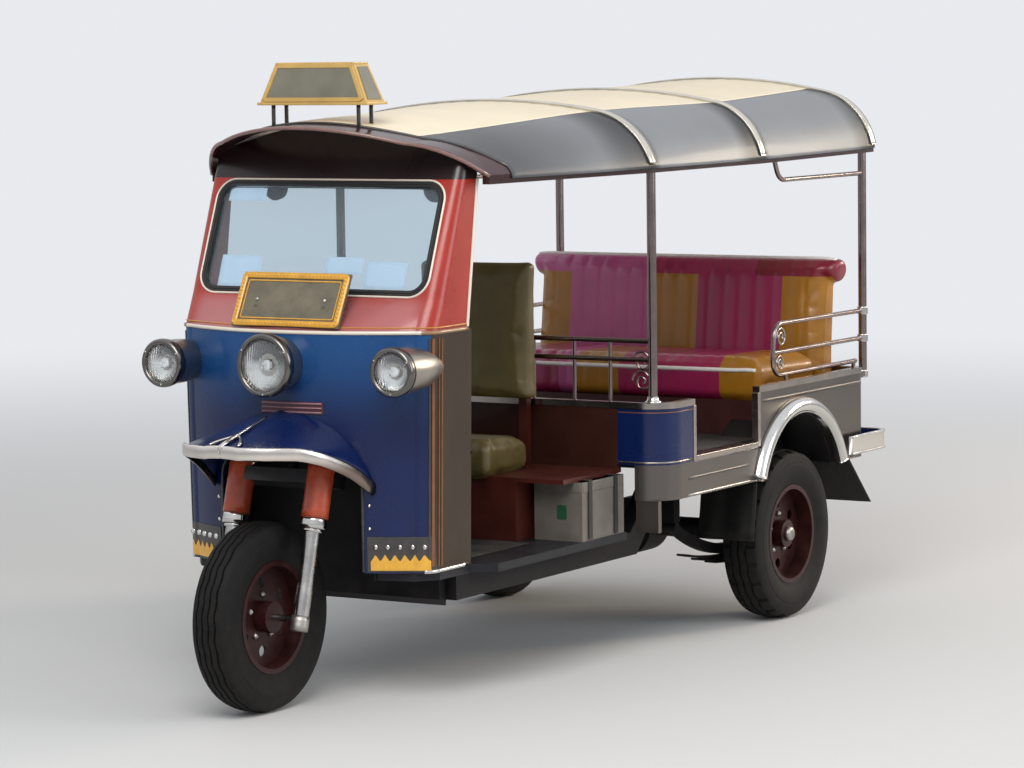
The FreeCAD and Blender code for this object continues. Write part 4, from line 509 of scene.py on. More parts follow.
piece("axle_cover", lathe([(0.070, 0.0), (0.102, 0.0), (0.100, 0.035), (0.088, 0.068), (0.070, 0.090)],
                          (0, rear_axle, rear_hub), "Y", 40), chassis_black, "black_steel")
for fin in range(9):
    z = 0.300 + fin * 0.024
    plate("cooling_fin_%d" % fin, oblong(-0.172, 0.172, front_axle + 1.003, front_axle + 1.287, 0.012), z, z + 0.005,
          oily_iron, "cast_metal", 0)

# Cab front: one blue enamelled sheet that curves round to stainless sides, with a pale moulding at its belt, amber
# lines at the seams, a small louvre under the middle lamp and a toothed corner plate low on each side.
blue = finish("blue_enamel", (0.0025, 0.011, 0.070), 0.28, dust=0.04, relief=0.00006, coat=0.12, mottle=0.10, scale=5,
              dust_height=0.50, Specular_IOR_Level=0.35)
# The side stainless is given a dark brown colour, as painted shade and a painted reflection of its brown surroundings.
stainless = finish("side_stainless", (0.082, 0.064, 0.050), 0.38, dust=0.08, metal=1.0, mottle=0.10, scale=8)
cream_line = finish("cream_line", (0.78, 0.72, 0.62), 0.35, dust=0.2, coat=0.3, mottle=0.06)
belt_cream = finish("belt_cream", (0.78, 0.72, 0.62), 0.35, dust=0.2, coat=0.3, mottle=0.06)
gold_line = finish("gold_line", (0.60, 0.27, 0.03), 0.34, dust=0.1, coat=0.4, mottle=0.15, scale=30)
tooth_yellow = finish("tooth_yellow", (0.78, 0.40, 0.03), 0.34, dust=0.08, coat=0.4, mottle=0.12, scale=30)
amber_line = finish("amber_line", (0.20, 0.065, 0.014), 0.36, dust=0.1, coat=0.4, mottle=0.2, scale=30)
plate_black = finish("plate_black", (0.030, 0.028, 0.027), 0.4, dust=0.15, relief=0.0002, coat=0.3, mottle=0.3,
                     scale=30)
louvre_maroon = finish("louvre_maroon", (0.075, 0.016, 0.028), 0.40, dust=0.1, coat=0.2)
louvre_pink = finish("louvre_pink", (0.30, 0.16, 0.19), 0.40, dust=0.1, coat=0.2)


def brushed(material, fineness):
    """Fine level lines drawn along a sheet: stretched noise used as relief."""
    tree = material.node_tree
    lines = add(tree, "Mapping", Vector=add(tree, "TexCoord").outputs["Object"], Scale=(6.0, 6.0, fineness))
    grain = add(tree, "TexNoise", Vector=lines.outputs["Vector"], Scale=1.0, Detail=3.0, Roughness=0.7)
    emboss(material, grain.outputs["Fac"], 0.00008, 0.3)
    tree.nodes["Principled BSDF"].inputs["Anisotropic"].default_value = 0.4


brushed(stainless, 420.0)
# Painted reflection: the blue is painted lighter towards the top of the cab front, standing for the sky reflected in
# it. The dark navy below it is kept dark as painted shade.
tree = blue.node_tree
repaint(blue, (0.008, 0.066, 0.215, 1), ramp(tree, position(tree)["Z"], 0.80, 1.08))
tree = belt_cream.node_tree
repaint(belt_cream, (0.30, 0.17, 0.085, 1),
        maths(tree, "GREATER_THAN", maths(tree, "ABSOLUTE", position(tree)["X"]), 0.42))
wear(blue, "cab_front_panel")
wear(stainless, "cab_side_panels")


def arc(start, middle, end, count):
    """Points of the circle's arc from start through middle to end, in plan."""
    (ax, ay), (bx, by), (cx, cy) = start, middle, end
    d = 2 * (ax * (by - cy) + bx * (cy - ay) + cx * (ay - by))
    aa, bb, cc = ax ** 2 + ay ** 2, bx ** 2 + by ** 2, cx ** 2 + cy ** 2
    ux = (aa * (by - cy) + bb * (cy - ay) + cc * (ay - by)) / d
    uy = (aa * (cx - bx) + bb * (ax - cx) + cc * (bx - ax)) / d
    first = math.atan2(ay - uy, ax - ux)
    turn = (math.atan2(cy - uy, cx - ux) - first) % math.tau
    if (math.atan2(by - uy, bx - ux) - first) % math.tau > turn:
        turn -= math.tau
    radius = math.hypot(ax - ux, ay - uy)
    return [(ux + radius * math.cos(first + turn * t), uy + radius * math.sin(first + turn * t))
            for t in np.linspace(0, 1, count)]


def straight(start, end, count):
    return [(start[0] + (end[0] - start[0]) * t, start[1] + (end[1] - start[1]) * t) for t in np.linspace(0, 1, count)]


def both_sides(half, middle):
    return [(-x, y) for x, y in reversed(half)] + middle + half


def lower_plan(side, rear):
    """The curved nose below the belt, between its rounded corners."""
    turn = side - 0.050
    half = arc((turn, 0.237), (side - 0.0135, 0.25716), (side, 0.300), 13)[1:]
    return both_sides(half + straight((side, 0.300), (side, rear), 9)[1:],
                      arc((-turn, 0.237), (0.0, 0.130), (turn, 0.237), 49))


def upper_plan(front, corner, rear):
    """The flat front above the belt."""
    turn = 0.449 - corner
    half = arc((turn, front), (0.449 - corner * 0.29, front + corner * 0.29), (0.449, front + corner), 13)[1:]
    return both_sides(half + straight((0.449, front + corner), (0.449, rear), 9)[1:],
                      straight((-turn, front), (turn, front), 49))


CAB_LEVELS = [(0.400, lower_plan(0.435, 0.470)), (1.105, lower_plan(0.449, 0.470)), (1.105, lower_plan(0.449, 0.444)),
              (1.200, upper_plan(0.283, 0.050, 0.4584)), (1.760, upper_plan(0.50585, 0.022, 0.5462))]


def cab_line(z, out=0.0, first=0, last=None):
    """The cab's outline at a height, from its right rear edge round the nose to its left, stood off the sheet."""
    low = 0 if z <= 1.105 else 2 if z <= 1.200 else 3
    (z0, lower), (z1, upper) = CAB_LEVELS[low:low + 2]
    t = (z - z0) / (z1 - z0)
    line = [at(a[0] + (b[0] - a[0]) * t, a[1] + (b[1] - a[1]) * t, z) for a, b in zip(lower, upper)]
    stood = []
    for place, here in enumerate(line):
        along = line[min(place + 1, len(line) - 1)] - line[max(place - 1, 0)]
        stood.append(here + Vector((along.y, -along.x, 0)).normalized() * out)
    return stood[first:last]


def half_round(width, proud):
    return [(proud * math.sin(a), width / 2 * math.cos(a)) for a in np.linspace(0, math.pi, 7)]


for name, z, width, proud, material, slot, first, last in (
        ("belt_moulding", 1.106, 0.012, 0.006, belt_cream, "chrome", 0, None),
        ("belt_gold_line", 1.120, 0.004, 0.003, gold_line, "sign_yellow", 0, None),
        ("cab_foot_moulding_right", 0.404, 0.012, 0.005, chrome, "chrome", 1, 17),
        ("cab_foot_moulding_left", 0.404, 0.012, 0.005, chrome, "chrome", 72, 88)):
    piece(name, sweep(cab_line(z, 0.0005, first, last), half_round(width, proud)), material, slot)


def on_cab(x, z, out=0.0):
    """The point of the cab's sheet at a half width and a height, on its front face."""
    line = cab_line(z, out)
    half = line[44:] if x >= 0 else line[:45][::-1]
    for a, b in zip(half, half[1:]):
        if abs(a.x) <= abs(x) <= abs(b.x):
            return a.lerp(b, (abs(x) - abs(a.x)) / max(abs(b.x) - abs(a.x), 1e-6))
    return half[-1]


def cab_sheet(name, xs, zs, thick, material, slot):
    """A thin sheet laid on the cab's front face between two half widths and two heights."""
    points = [on_cab(x, z, out) for out in (0.0008, 0.0008 + thick) for z in zs for x in xs]
    rows, columns = len(zs), len(xs)
    border = (list(range(columns)) + [r * columns + columns - 1 for r in range(1, rows)]
              + [(rows - 1) * columns + c for c in range(columns - 2, -1, -1)]
              + [r * columns for r in range(rows - 2, 0, -1)])
    faces = turned_over(grid_faces(rows, columns)) + grid_faces(rows, columns, start=rows * columns)
    faces += [(a, b, b + rows * columns, a + rows * columns) for a, b in zip(border, border[1:] + border[:1])]
    piece(name, (points, faces), material, slot, smooth=False)


for side, sign in SIDES:
    cab_sheet("corner_plate_" + side, [sign * x for x in np.linspace(0.262, 0.4345, 24)], (0.404, 0.44, 0.47, 0.508),
              0.0015, plate_black, "black_steel")
    points, faces = [], []
    for x, share in zip(np.linspace(0.272, 0.428, 53), np.linspace(0, 6, 53)):
        peak = 0.436 + 0.020 * (1 - abs((share % 1) * 2 - 1)) ** 1.2
        points += [on_cab(sign * x, z, out) for out in (0.0025, 0.0040) for z in (0.409, peak)]
    for a in range(0, 208, 4):
        b = a + 4
        faces += [(a + 2, b + 2, b + 3, a + 3), (a + 1, b + 1, b, a), (a + 3, b + 3, b + 1, a + 1),
                  (a, b, b + 2, a + 2)]
    faces += [(0, 2, 3, 1), (208, 209, 211, 210)]
    piece("toothed_band_" + side, (points, faces), tooth_yellow, "sign_yellow", smooth=False)
    points, faces = [], []
    for x in np.linspace(0.285, 0.415, 5):
        stud = lathe([(0.0, 0.0), (0.0, 0.009), (-0.003, 0.008), (-0.0045, 0.005), (-0.005, 0.0)],
                     on_cab(sign * x, 0.478, 0.0025), "Y", 16)
        faces += [tuple(v + len(points) for v in face) for face in stud[1]]
        points += stud[0]
    piece("corner_studs_" + side, (points, faces), chrome, "chrome")

    # lines painted down the stainless side behind the enamel's edge, amber with a dark one ahead
    for name, station, width, material in (("dark_seam", 0.258, 0.007, plate_black),
                                           ("gold_seam", 0.268, 0.010, amber_line),
                                           ("gold_hairline", 0.290, 0.004, amber_line),
                                           ("amber_hairline", 0.306, 0.006, amber_line)):
        seam = []
        for z in np.linspace(0.418, 1.088, 15):
            line = cab_line(z, 0.0006)
            corner = line[60:] if sign > 0 else line[:29][::-1]
            seam += [a.lerp(b, (front_axle + station - a.y) / (b.y - a.y)) for a, b in zip(corner, corner[1:])
                     if a.y <= front_axle + station <= b.y]
        edge = width / 2
        strip = [(-edge, 0.0), (edge, 0.0), (edge - 0.0006, 0.0022), (0.0006 - edge, 0.0022)]
        outward = Vector((sign * 0.86, -0.5, 0)).normalized()
        piece("%s_%s" % (name, side), sweep(seam, strip, outward), material, "sign_yellow", smooth=False)

cab_sheet("louvre_plate", np.linspace(-0.075, 0.14, 12), (0.866, 0.884, 0.902), 0.002, louvre_maroon, "maroon_paint")
for place, z in enumerate((0.871, 0.884, 0.897)):
    tube("louvre_bar_%d" % place, [on_cab(x, z, 0.005) for x in np.linspace(-0.070, 0.135, 12)], 0.0026, louvre_pink,
         "chrome", sides=8)
for place, z in enumerate((0.532, 0.60)):
    for side, sign in SIDES:
        piece("panel_screw_%s_%d" % (side, place), lathe([(0.0, 0.0), (0.0, 0.006), (-0.002, 0.005), (-0.003, 0.0)],
                                                         on_cab(sign * 0.268, z, 0.001), "Y", 14), chrome, "chrome")

# Wheel opening: a black edge rolled over the cut sheet, up one side of the front wheel's opening, across its top
# and down the other side.
opening = [(-0.250, 0.404), (-0.250, 0.55), (-0.250, 0.665)]
opening += [(-0.18 - 0.07 * math.cos(a), 0.665 + 0.07 * math.sin(a)) for a in np.linspace(0.2, math.pi / 2, 6)]
opening += [(x, 0.735) for x in np.linspace(-0.14, 0.14, 11)]
opening += [(-x, z) for x, z in reversed(opening[:9])]
tube("wheel_opening_edge", [on_cab(x, z, 0.001) for x, z in opening], 0.0045, plate_black, "black_rubber",
     (0, 1, 0), 10)

# Hood: a beak of blue enamelled sheet over the front wheel, creased along its middle, with a broad chromed rim and a
# slim ornament on the crease. Its back edge is cut to stand just off the cab's face.
# station, half width, ridge, edge
HOOD = [(-0.184, 0.055, 0.7880, 0.7845), (-0.176, 0.088, 0.7925, 0.7845), (-0.155, 0.134, 0.8000, 0.7840),
        (-0.120, 0.174, 0.8090, 0.7825), (-0.080, 0.203, 0.8185, 0.7785), (-0.030, 0.230, 0.8320, 0.7650),
        (0.020, 0.245, 0.8450, 0.7470), (0.080, 0.262, 0.8600, 0.7200), (0.115, 0.270, 0.8690, 0.7000),
        (0.150, 0.277, 0.8780, 0.6770), (0.235, 0.290, 0.8960, 0.6200)]
hood_gap = 0.004


def hood_point(station, share):
    y, half, ridge, edge = station
    rise = (ridge - edge) * (1 - abs(share) ** 1.9) ** 0.66 + 0.0035 * math.exp(-(share / 0.05) ** 2)
    return at(share * half, y, edge + rise)


def skin_of(thing):
    return BVHTree.FromObject(thing, bpy.context.evaluated_depsgraph_get())


cab_skin = skin_of(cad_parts["cab_front_panel"])
hood_rows = []
edge_reach = 0
for share in np.linspace(-1, 1, 41):
    column = smooth_path([hood_point(station, share) for station in HOOD], 41)
    for place, here in enumerate(column):
        hit = cab_skin.ray_cast(Vector((here.x, front_axle - 0.1, here.z)), Vector((0, 1, 0)))[0]
        if hit and here.y > hit.y + hood_gap:
            column[place] = Vector((here.x, hit.y + hood_gap, here.z))
        elif share == -1:
            edge_reach = place + 1
    hood_rows.append(column)
hood = piece("front_hood_sheet", (sum(hood_rows, []), grid_faces(41, 41)), blue, "blue_paint")
thick = hood.modifiers.new("sheet", "SOLIDIFY")
thick.thickness = 0.004
thick.offset = 1.0
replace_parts(hood, "front_hood")
hood_edge = (hood_rows[0][edge_reach:0:-1] + [row[0] for row in hood_rows] + hood_rows[-1][1:edge_reach + 1])
rim_band = [(-0.003, 0.013), (0.002, 0.0155), (0.0055, 0.011), (0.0062, 0.0), (0.0066, -0.013), (0.0045, -0.0215),
            (0.000, -0.023), (-0.003, -0.019)]
hood_bright = finish("hood_chrome", (0.74, 0.69, 0.64), 0.19, dust=0.12, metal=1.0, mottle=0.06, scale=14)
# Painted shade: the hood's chrome rim is painted dark brown where it drops low at the sides.
tree = hood_bright.node_tree
repaint(hood_bright, (0.16, 0.105, 0.075, 1),
        maths(tree, "MULTIPLY", ramp(tree, position(tree)["Z"], 0.772, 0.705), 0.85))
hood_rim = piece("hood_rim", sweep([p + Vector((0, 0, -0.002)) for p in hood_edge], rim_band), hood_bright, "chrome")
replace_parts(hood_rim, "hood_lip")


def tapered(name, line, widths, proud):
    """A bright strip laid on the hood, domed across and tapered to its ends."""
    points = []
    for place, here in enumerate(line):
        along = (line[min(place + 1, len(line) - 1)] - line[max(place - 1, 0)]).normalized()
        across = along.cross(Vector((0, 0, 1))).normalized()
        width = np.interp(place / (len(line) - 1), (0, 0.25, 0.7, 1), widths)
        for share, high in ((-1, 0.0), (-0.6, 0.8), (0, 1.0), (0.6, 0.8), (1, 0.0), (0, -0.6)):
            points.append(here + across * share * width + across.cross(along) * proud * high)
    faces = grid_faces(len(line), 6, False, True) + [(5, 4, 3, 2, 1, 0), tuple(range(len(points) - 6, len(points)))]
    piece(name, (points, faces), hood_bright, "chrome")


tapered("hood_ornament", [p + Vector((0, 0, 0.0055)) for p in hood_rows[20][1:27]], (0.005, 0.012, 0.008, 0.003), 0.005)
for wing in (-1, 1):
    feather = [hood_rows[20 + wing * (9 - k)][6 + k] + Vector((0, 0, 0.005)) for k in range(0, 10)]
    tapered("hood_feather_%d" % (wing > 0), feather, (0.003, 0.008, 0.006, 0.003), 0.004)

# Headlamps: satin bowls let into the cab's face, one large in the middle and one at each corner. Each holds a
# polished dish with a bulb's cap and a domed pressed lens with upright flutes, clamped by a screwed ring.
wear(finish("shell_satin", (0.36, 0.33, 0.30), 0.33, dust=0.15, metal=1.0, mottle=0.08, scale=14), "headlamp_shells")
lens_glass = bare("lens_glass", Base_Color=(0.95, 0.97, 0.98, 1), Roughness=0.03, Transmission_Weight=0.96, IOR=1.30)
dish_silver = finish("dish_silver", (0.72, 0.72, 0.70), 0.16, dust=0.05, metal=1.0, mottle=0.03)
# Painted shade: the upper half of each dish is painted dark.
tree = dish_silver.node_tree
repaint(dish_silver, (0.07, 0.07, 0.075, 1), ramp(tree, position(tree)["Z"], 0.990, 1.035, smooth=False))
bulb_white = finish("bulb_white", (0.85, 0.87, 0.88), 0.2, dust=0.02, coat=0.5, mottle=0.02)
# The bezels are chrome given a dark colour, as a painted reflection of dark surroundings.
ring_dark = finish("lamp_ring", (0.17, 0.16, 0.15), 0.22, dust=0.15, metal=1.0, mottle=0.10, scale=20)


def flutes(material, pitch, depth):
    """Upright pressed ribs across X, as relief on the glass."""
    tree = material.node_tree
    place = position(tree)
    wave = maths(tree, "SINE", maths(tree, "MULTIPLY", place["X"], math.tau / pitch))
    rows = maths(tree, "SINE", maths(tree, "MULTIPLY", place["Z"], math.tau / (pitch * 3.2)))
    emboss(material, maths(tree, "ADD", wave, maths(tree, "MULTIPLY", rows, 0.5)), depth)


flutes(lens_glass, 0.0090, 0.00022)
for name, x, station, z, rim in (("middle", 0.0, 0.036, 1.014, 0.092), ("left", 0.408, 0.091, 1.003, 0.071),
                                 ("right", -0.408, 0.091, 1.003, 0.071)):
    face = at(x, station, z)
    glass = rim - 0.0133
    dome = [(0.004 - 0.012 * (1 - (r / glass) ** 2), r) for r in np.linspace(0, glass, 13)]
    dome += [(0.0075, glass), (0.0075, glass - 0.003)]
    dome += [(0.0065 - 0.012 * (1 - (r / glass) ** 2), r) for r in np.linspace(glass - 0.004, 0, 10)]
    lens = piece("lamp_glass_" + name, lathe(dome, face, "Y", 56), lens_glass, "lens_glass")
    if name == "middle":
        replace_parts(lens, "headlamp_lenses")
    bowl = [(0.0285 - 0.0150 * (r / glass) ** 2, r) for r in np.linspace(0, glass, 12)]
    piece("lamp_dish_" + name, lathe(bowl + [(a + 0.0008, r) for a, r in reversed(bowl)], face, "Y", 56), dish_silver,
          "chrome")
    bulb = [(0.0265, 0.0), (0.0265, 0.015), (0.016, 0.0155), (0.0145, 0.0125), (0.0135, 0.0)]
    piece("lamp_bulb_cap_" + name, lathe(bulb, face, "Y", 28), bulb_white, "chrome")
    bezel = [(0.000, glass - 0.001), (-0.004, glass + 0.0015), (-0.0055, glass + 0.006), (-0.004, rim - 0.002),
             (0.002, rim + 0.0018), (0.014, rim + 0.0022), (0.026, rim + 0.0006), (0.026, rim - 0.001),
             (0.004, rim - 0.003), (0.004, glass + 0.001)]
    piece("lamp_bezel_" + name, lathe(bezel, face, "Y", 72), ring_dark, "chrome")
    for place, angle in enumerate((0.5, 2.6, 4.71)):
        screw = face + Vector((math.cos(angle), 0, math.sin(angle))) * (glass + 0.0065) + Vector((0, -0.0045, 0))
        piece("lamp_screw_%s_%d" % (name, place),
              lathe([(0.001, 0.0), (0.001, 0.0032), (-0.0012, 0.0028), (-0.0018, 0.0)], screw, "Y", 12), nut_steel,
              "chrome")

# Windscreen surround: red enamelled sheet with quarter panels, a flat screen in a black rubber strip with a pale
# locking line, a pale edge on each quarter panel and two round mirrors hung inside.
surround_red = finish("surround_red", (0.36, 0.020, 0.008), 0.30, dust=0.05, relief=0.00005, coat=0.15, mottle=0.10,
                      scale=6)
tree = surround_red.node_tree
spot = position(tree)
near_middle = ramp(tree, maths(tree, "ABSOLUTE", spot["X"]), 0.435, 0.360)
near_belt = ramp(tree, spot["Z"], 1.225, 1.170)
repaint(surround_red, (0.42, 0.125, 0.125, 1), maths(tree, "MULTIPLY", near_middle, near_belt))
# The header above the screen, under the brow, is painted near black: its dark maroon is deepened as painted shade under
# the brow.
repaint(surround_red, (0.014, 0.004, 0.005, 1), maths(tree, "GREATER_THAN", spot["Z"], 1.545))
screen_rubber = finish("screen_rubber", (0.014, 0.014, 0.014), 0.45, dust=0.2, relief=0.0001, mottle=0.1, scale=30)
wear(surround_red, "cab_upper_surround")
wear(screen_rubber, "windscreen_gasket")
wear(grip_rubber, "cab_mirrors")
wear(bare("clear_glass", Base_Color=(0.40, 0.48, 0.53, 1), Roughness=0.02, Transmission_Weight=0.86, IOR=1.06,
          Coat_Weight=0.35, Coat_Roughness=0.02), "windscreen_glass")


def leaning(y, z, lean):
    """A plane that leans back from its foot: a function for points across it, up it and out in front."""
    return lambda u, v, w=0.0: at(u, y + v * math.sin(lean) - w * math.cos(lean),
                                  z + v * math.cos(lean) + w * math.sin(lean))


on_screen = leaning(0.283, 1.200, math.radians(21.7))
screen_out = on_screen(0, 0, 1) - on_screen(0, 0)
for name, inset, radius, material, w in (("locking_strip", 0.0075, 0.0026, grip_rubber, 0.0055),
                                         ("pale_strip", -0.005, 0.0034, cream_line, 0.0012)):
    loop = oblong(-0.404 + inset, 0.404 - inset, 0.010 + inset, 0.362 - inset, 0.058 - inset, 8)
    tube("screen_" + name, [on_screen(u, v, w) for u, v in loop], radius, material, "black_rubber", screen_out, 10,
         True)
# Painted light: the papers glow by emission, so that they read bright behind the tinted glass.
paper = finish("plain_paper", (0.86, 0.89, 0.95), 0.7, dust=0.1, relief=0.00005, mottle=0.06, scale=20,
               Emission_Color=(0.80, 0.88, 1.0, 1), Emission_Strength=1.15)
for name, u0, u1, v0, v1 in (("low_left", -0.355, -0.209, 0.030, 0.130), ("low_middle", 0.024, 0.155, 0.078, 0.130),
                             ("low_right", 0.168, 0.312, 0.035, 0.118), ("high_left", -0.376, -0.245, 0.303, 0.345)):
    points = [on_screen(u, v, -0.0175 - 0.0035 * ((u - u0) / (u1 - u0)) ** 4 - 0.001 * math.sin(v * 40))
              for v in np.linspace(v0, v1, 7) for u in np.linspace(u0, u1, 9)]
    leaf = piece("screen_paper_" + name, (points, grid_faces(7, 9)), paper, "white_paint")
    leaf.modifiers.new("sheet", "SOLIDIFY").thickness = 0.0005
for side, sign in SIDES:
    edge = [cab_line(z, 0.0015)[-1 if sign > 0 else 0] for z in np.linspace(1.112, 1.545, 24)]
    strip = [(-0.005, -0.004), (0.005, -0.004), (0.005, 0.002), (0.0, 0.0035), (-0.005, 0.002)]
    piece("quarter_edge_" + side, sweep(edge, strip, (sign, 0, 0)), cream_line, "chrome", smooth=False)
    silvered = finish("mirror_face_" + side, (0.75, 0.77, 0.78), 0.04, dust=0.03, metal=1.0, mottle=0.02)
    x = 0.321 if sign > 0 else -0.253
    back = [(0.0015, 0.0), (0.0015, 0.0345), (0.003, 0.0375), (-0.0015, 0.0385), (-0.005, 0.037), (-0.005, 0.0)]
    piece("mirror_back_" + side, lathe(back, at(x, 0.482, 1.512), "Y", 40), grip_rubber, "black_rubber")
    piece("mirror_glass_" + side, lathe([(0.0, 0.0), (0.0, 0.034), (0.0015, 0.033), (0.003, 0.0)],
                                        at(x, 0.498, 1.512), "Y", 40), silvered, "chrome")

# Number plate: a blank green board that leans back on two stays, in a yellow frame with small bosses along all four
# sides and a thin yellow line inside it.
plate_green = finish("plate_green", (0.120, 0.103, 0.066), 0.42, dust=0.2, relief=0.0001, coat=0.35, mottle=0.35,
                     scale=14)
frame_yellow = finish("frame_yellow", (0.70, 0.36, 0.035), 0.34, dust=0.1, relief=0.0001, coat=0.4, mottle=0.15,
                      scale=22)
wear(plate_green, "number_plate")
plate_lean, board_face = math.radians(27), 0.0082
on_plate = leaning(0.154 - board_face * math.cos(plate_lean), 1.116 + board_face * math.sin(plate_lean), plate_lean)
plate_out = on_plate(0, 0, 1) - on_plate(0, 0)
band = [(-0.0090, 0.0), (0.0090, 0.0), (0.0090, 0.0040), (0.0055, 0.0065), (-0.0055, 0.0065), (-0.0090, 0.0040)]
hairline = [(-0.002, 0.0), (0.002, 0.0), (0.0015, 0.002), (-0.0015, 0.002)]
for name, loop, section in (("frame", oblong(-0.1805, 0.1805, 0.0095, 0.1625, 0.008, 4), band),
                            ("inner_line", oblong(-0.164, 0.164, 0.026, 0.146, 0.006, 4), hairline)):
    piece("plate_" + name, sweep([on_plate(u, v, 0.0003) for u, v in loop], section, plate_out, True), frame_yellow,
          "sign_yellow", smooth=False)


def boss(u, v, profile, sides, start=0):
    """A small dome on the plate, from heights and radii."""
    across = Vector((1, 0, 0))
    points = [on_plate(u, v, w) + across * a + plate_out.cross(across) * b
              for w, radius in profile for a, b in ring(radius, sides)]
    return points, turned_over(grid_faces(len(profile), sides, False, True, start))


points, faces = [], []
for u, v in [(u, v) for u in np.linspace(-0.1805, 0.1805, 29) for v in (0.0095, 0.1625)] + \
            [(u, v) for u in (-0.1805, 0.1805) for v in np.linspace(0.0222, 0.1498, 11)]:
    dome = boss(u, v, ((0.0060, 0.0052), (0.0085, 0.0043), (0.0100, 0.0023), (0.0105, 0.0)), 8, len(points))
    points += dome[0]
    faces += dome[1]
piece("plate_bosses", (points, faces), frame_yellow, "sign_yellow")
for place, u in enumerate((-0.12, 0.12)):
    bolt = boss(u, 0.086, ((0.0, 0.007), (0.003, 0.0065), (0.0048, 0.004), (0.005, 0.0)), 14)
    piece("plate_bolt_%d" % place, bolt, nut_steel, "chrome")

# Roof sign: a yellow lamp box with blank grey-green faces behind a raised frame, on a wider foot and dark thin legs.
# Its faces lean in towards the top.
sign_yellow = finish("sign_yellow", (0.58, 0.37, 0.11), 0.38, dust=0.05, relief=0.0001, coat=0.25, mottle=0.1, scale=18)
sign_face = finish("sign_face", (0.175, 0.170, 0.125), 0.32, dust=0.08, relief=0.00008, coat=0.3, mottle=0.18, scale=10)
wear(sign_yellow, "roof_sign")
sign_y, sign_foot, sign_rise = 0.369, 1.772, 0.120
for name, half, deep, low, high, bevel in (("foot", 0.198, 0.058, 1.766, 1.7745, 0.002),
                                           ("cap", 0.142, 0.039, 1.8865, 1.8915, 0.0015)):
    plate("sign_" + name, oblong(-half, half, front_axle + sign_y - deep, front_axle + sign_y + deep, 0.006, 3), low,
          high, sign_yellow, "sign_yellow", bevel)


def sign_outline(facing, inset, out):
    """The four corners of a leaning face, drawn in and stood off."""
    corners = []
    for z, turns in ((sign_foot + inset, (-1, 1)), (sign_foot + sign_rise - inset, (1, -1))):
        half = 0.190 - 0.052 * (z - sign_foot) / sign_rise - inset * 1.1
        lean = (z - sign_foot) / sign_rise * 0.012
        corners += [at(turn * half, sign_y + facing * (0.050 - lean + out), z) for turn in turns]
    return corners


slab = [(0, 1, 2, 3), (7, 6, 5, 4), (0, 4, 5, 1), (1, 5, 6, 2), (2, 6, 7, 3), (3, 7, 4, 0)]
for name, facing in (("front", -1), ("rear", 1)):
    panel = sign_outline(facing, 0.016, 0.0006) + sign_outline(facing, 0.016, 0.0022)
    piece("sign_panel_" + name, (panel, slab), sign_face, "sign_yellow", smooth=False)
    raised = sign_outline(facing, 0.010, 0.0004)
    loop = [raised[k].lerp(raised[(k + 1) % 4], t) for k in range(4) for t in (0.02, 0.35, 0.65, 0.98)]
    section = [(-0.007, 0.0), (0.007, 0.0), (0.0055, 0.0045), (-0.0055, 0.0045)]
    piece("sign_frame_" + name, sweep(loop, section, (0, facing, 0), True), sign_yellow, "sign_yellow", smooth=False)
for side, sign in SIDES:
    end = [at(sign * x, sign_y + y, z) for x, y, z in ((0.1862, -0.036, 1.782), (0.1862, 0.036, 1.782),
                                                       (0.1445, 0.027, 1.878), (0.1445, -0.027, 1.878))]
    panel = [p + Vector((sign * 0.917, 0, 0.398)) * out for out in (0.0004, 0.0022) for p in end]
    piece("sign_end_" + side, (panel, slab if sign > 0 else turned_over(slab)), sign_face, "sign_yellow", smooth=False)
for place, (x, y) in enumerate((x, y) for x in (-0.152, 0.152) for y in (0.335, 0.403)):
    tube("sign_leg_%d" % place, [at(x, y, z) for z in np.linspace(1.700, 1.768, 5)], 0.0062, plate_black, "black_steel",
         (1, 0, 0))

# Roof: a maroon brow over the screen, then one stretched sheet from the brow to the last bow, beige on top with grey
# sides, sewn together under a piping line. Bright bows stand over it and a dark red rail holds its edge. The grey sides
# are painted darker towards the front and just ahead of each bow, as painted shade.
brow_maroon = finish("brow_maroon", (0.036, 0.008, 0.010), 0.28, dust=0.06, relief=0.00006, coat=0.35, mottle=0.15,
                     scale=7)
beige_vinyl = finish("beige_vinyl", (0.86, 0.76, 0.58), 0.55, dust=0.05, relief=0.0003, mottle=0.06, scale=4, grain=900,
                     dust_height=2.0)
grey_vinyl = finish("shaded_grey_vinyl", (0.200, 0.212, 0.230), 0.46, dust=0.03, relief=0.00008, coat=0.06, mottle=0.10,
                    scale=3, grain=700)
# Painted shade: the grey sides turn nearly black towards the front and just ahead of each bow.
tree = grey_vinyl.node_tree
spot = position(tree)
cloudy = add(tree, "TexNoise", Vector=add(tree, "TexCoord").outputs["Object"], Scale=3.0, Detail=1.0).outputs["Fac"]
uneven = maths(tree, "MULTIPLY", maths(tree, "SUBTRACT", cloudy, 0.5), 0.22)
ahead = maths(tree, "ADD", maths(tree, "SUBTRACT", spot["Y"], front_axle), uneven)
painted_shade = ramp(tree, ahead, 1.30, 0.60, 0.0, 0.72)
for bow, reach in ((1.315, 0.34), (2.020, 0.20), (2.870, 0.17)):
    before = ramp(tree, ahead, bow - reach, bow - 0.03)
    behind = ramp(tree, spot["Y"], front_axle + bow + 0.06, front_axle + bow + 0.01)
    painted_shade = maths(tree, "MAXIMUM", painted_shade, maths(tree, "MULTIPLY", before, behind))
repaint(grey_vinyl, (0.008, 0.008, 0.010, 1), maths(tree, "MULTIPLY", painted_shade, 0.93))
wear(brow_maroon, "visor_brow")
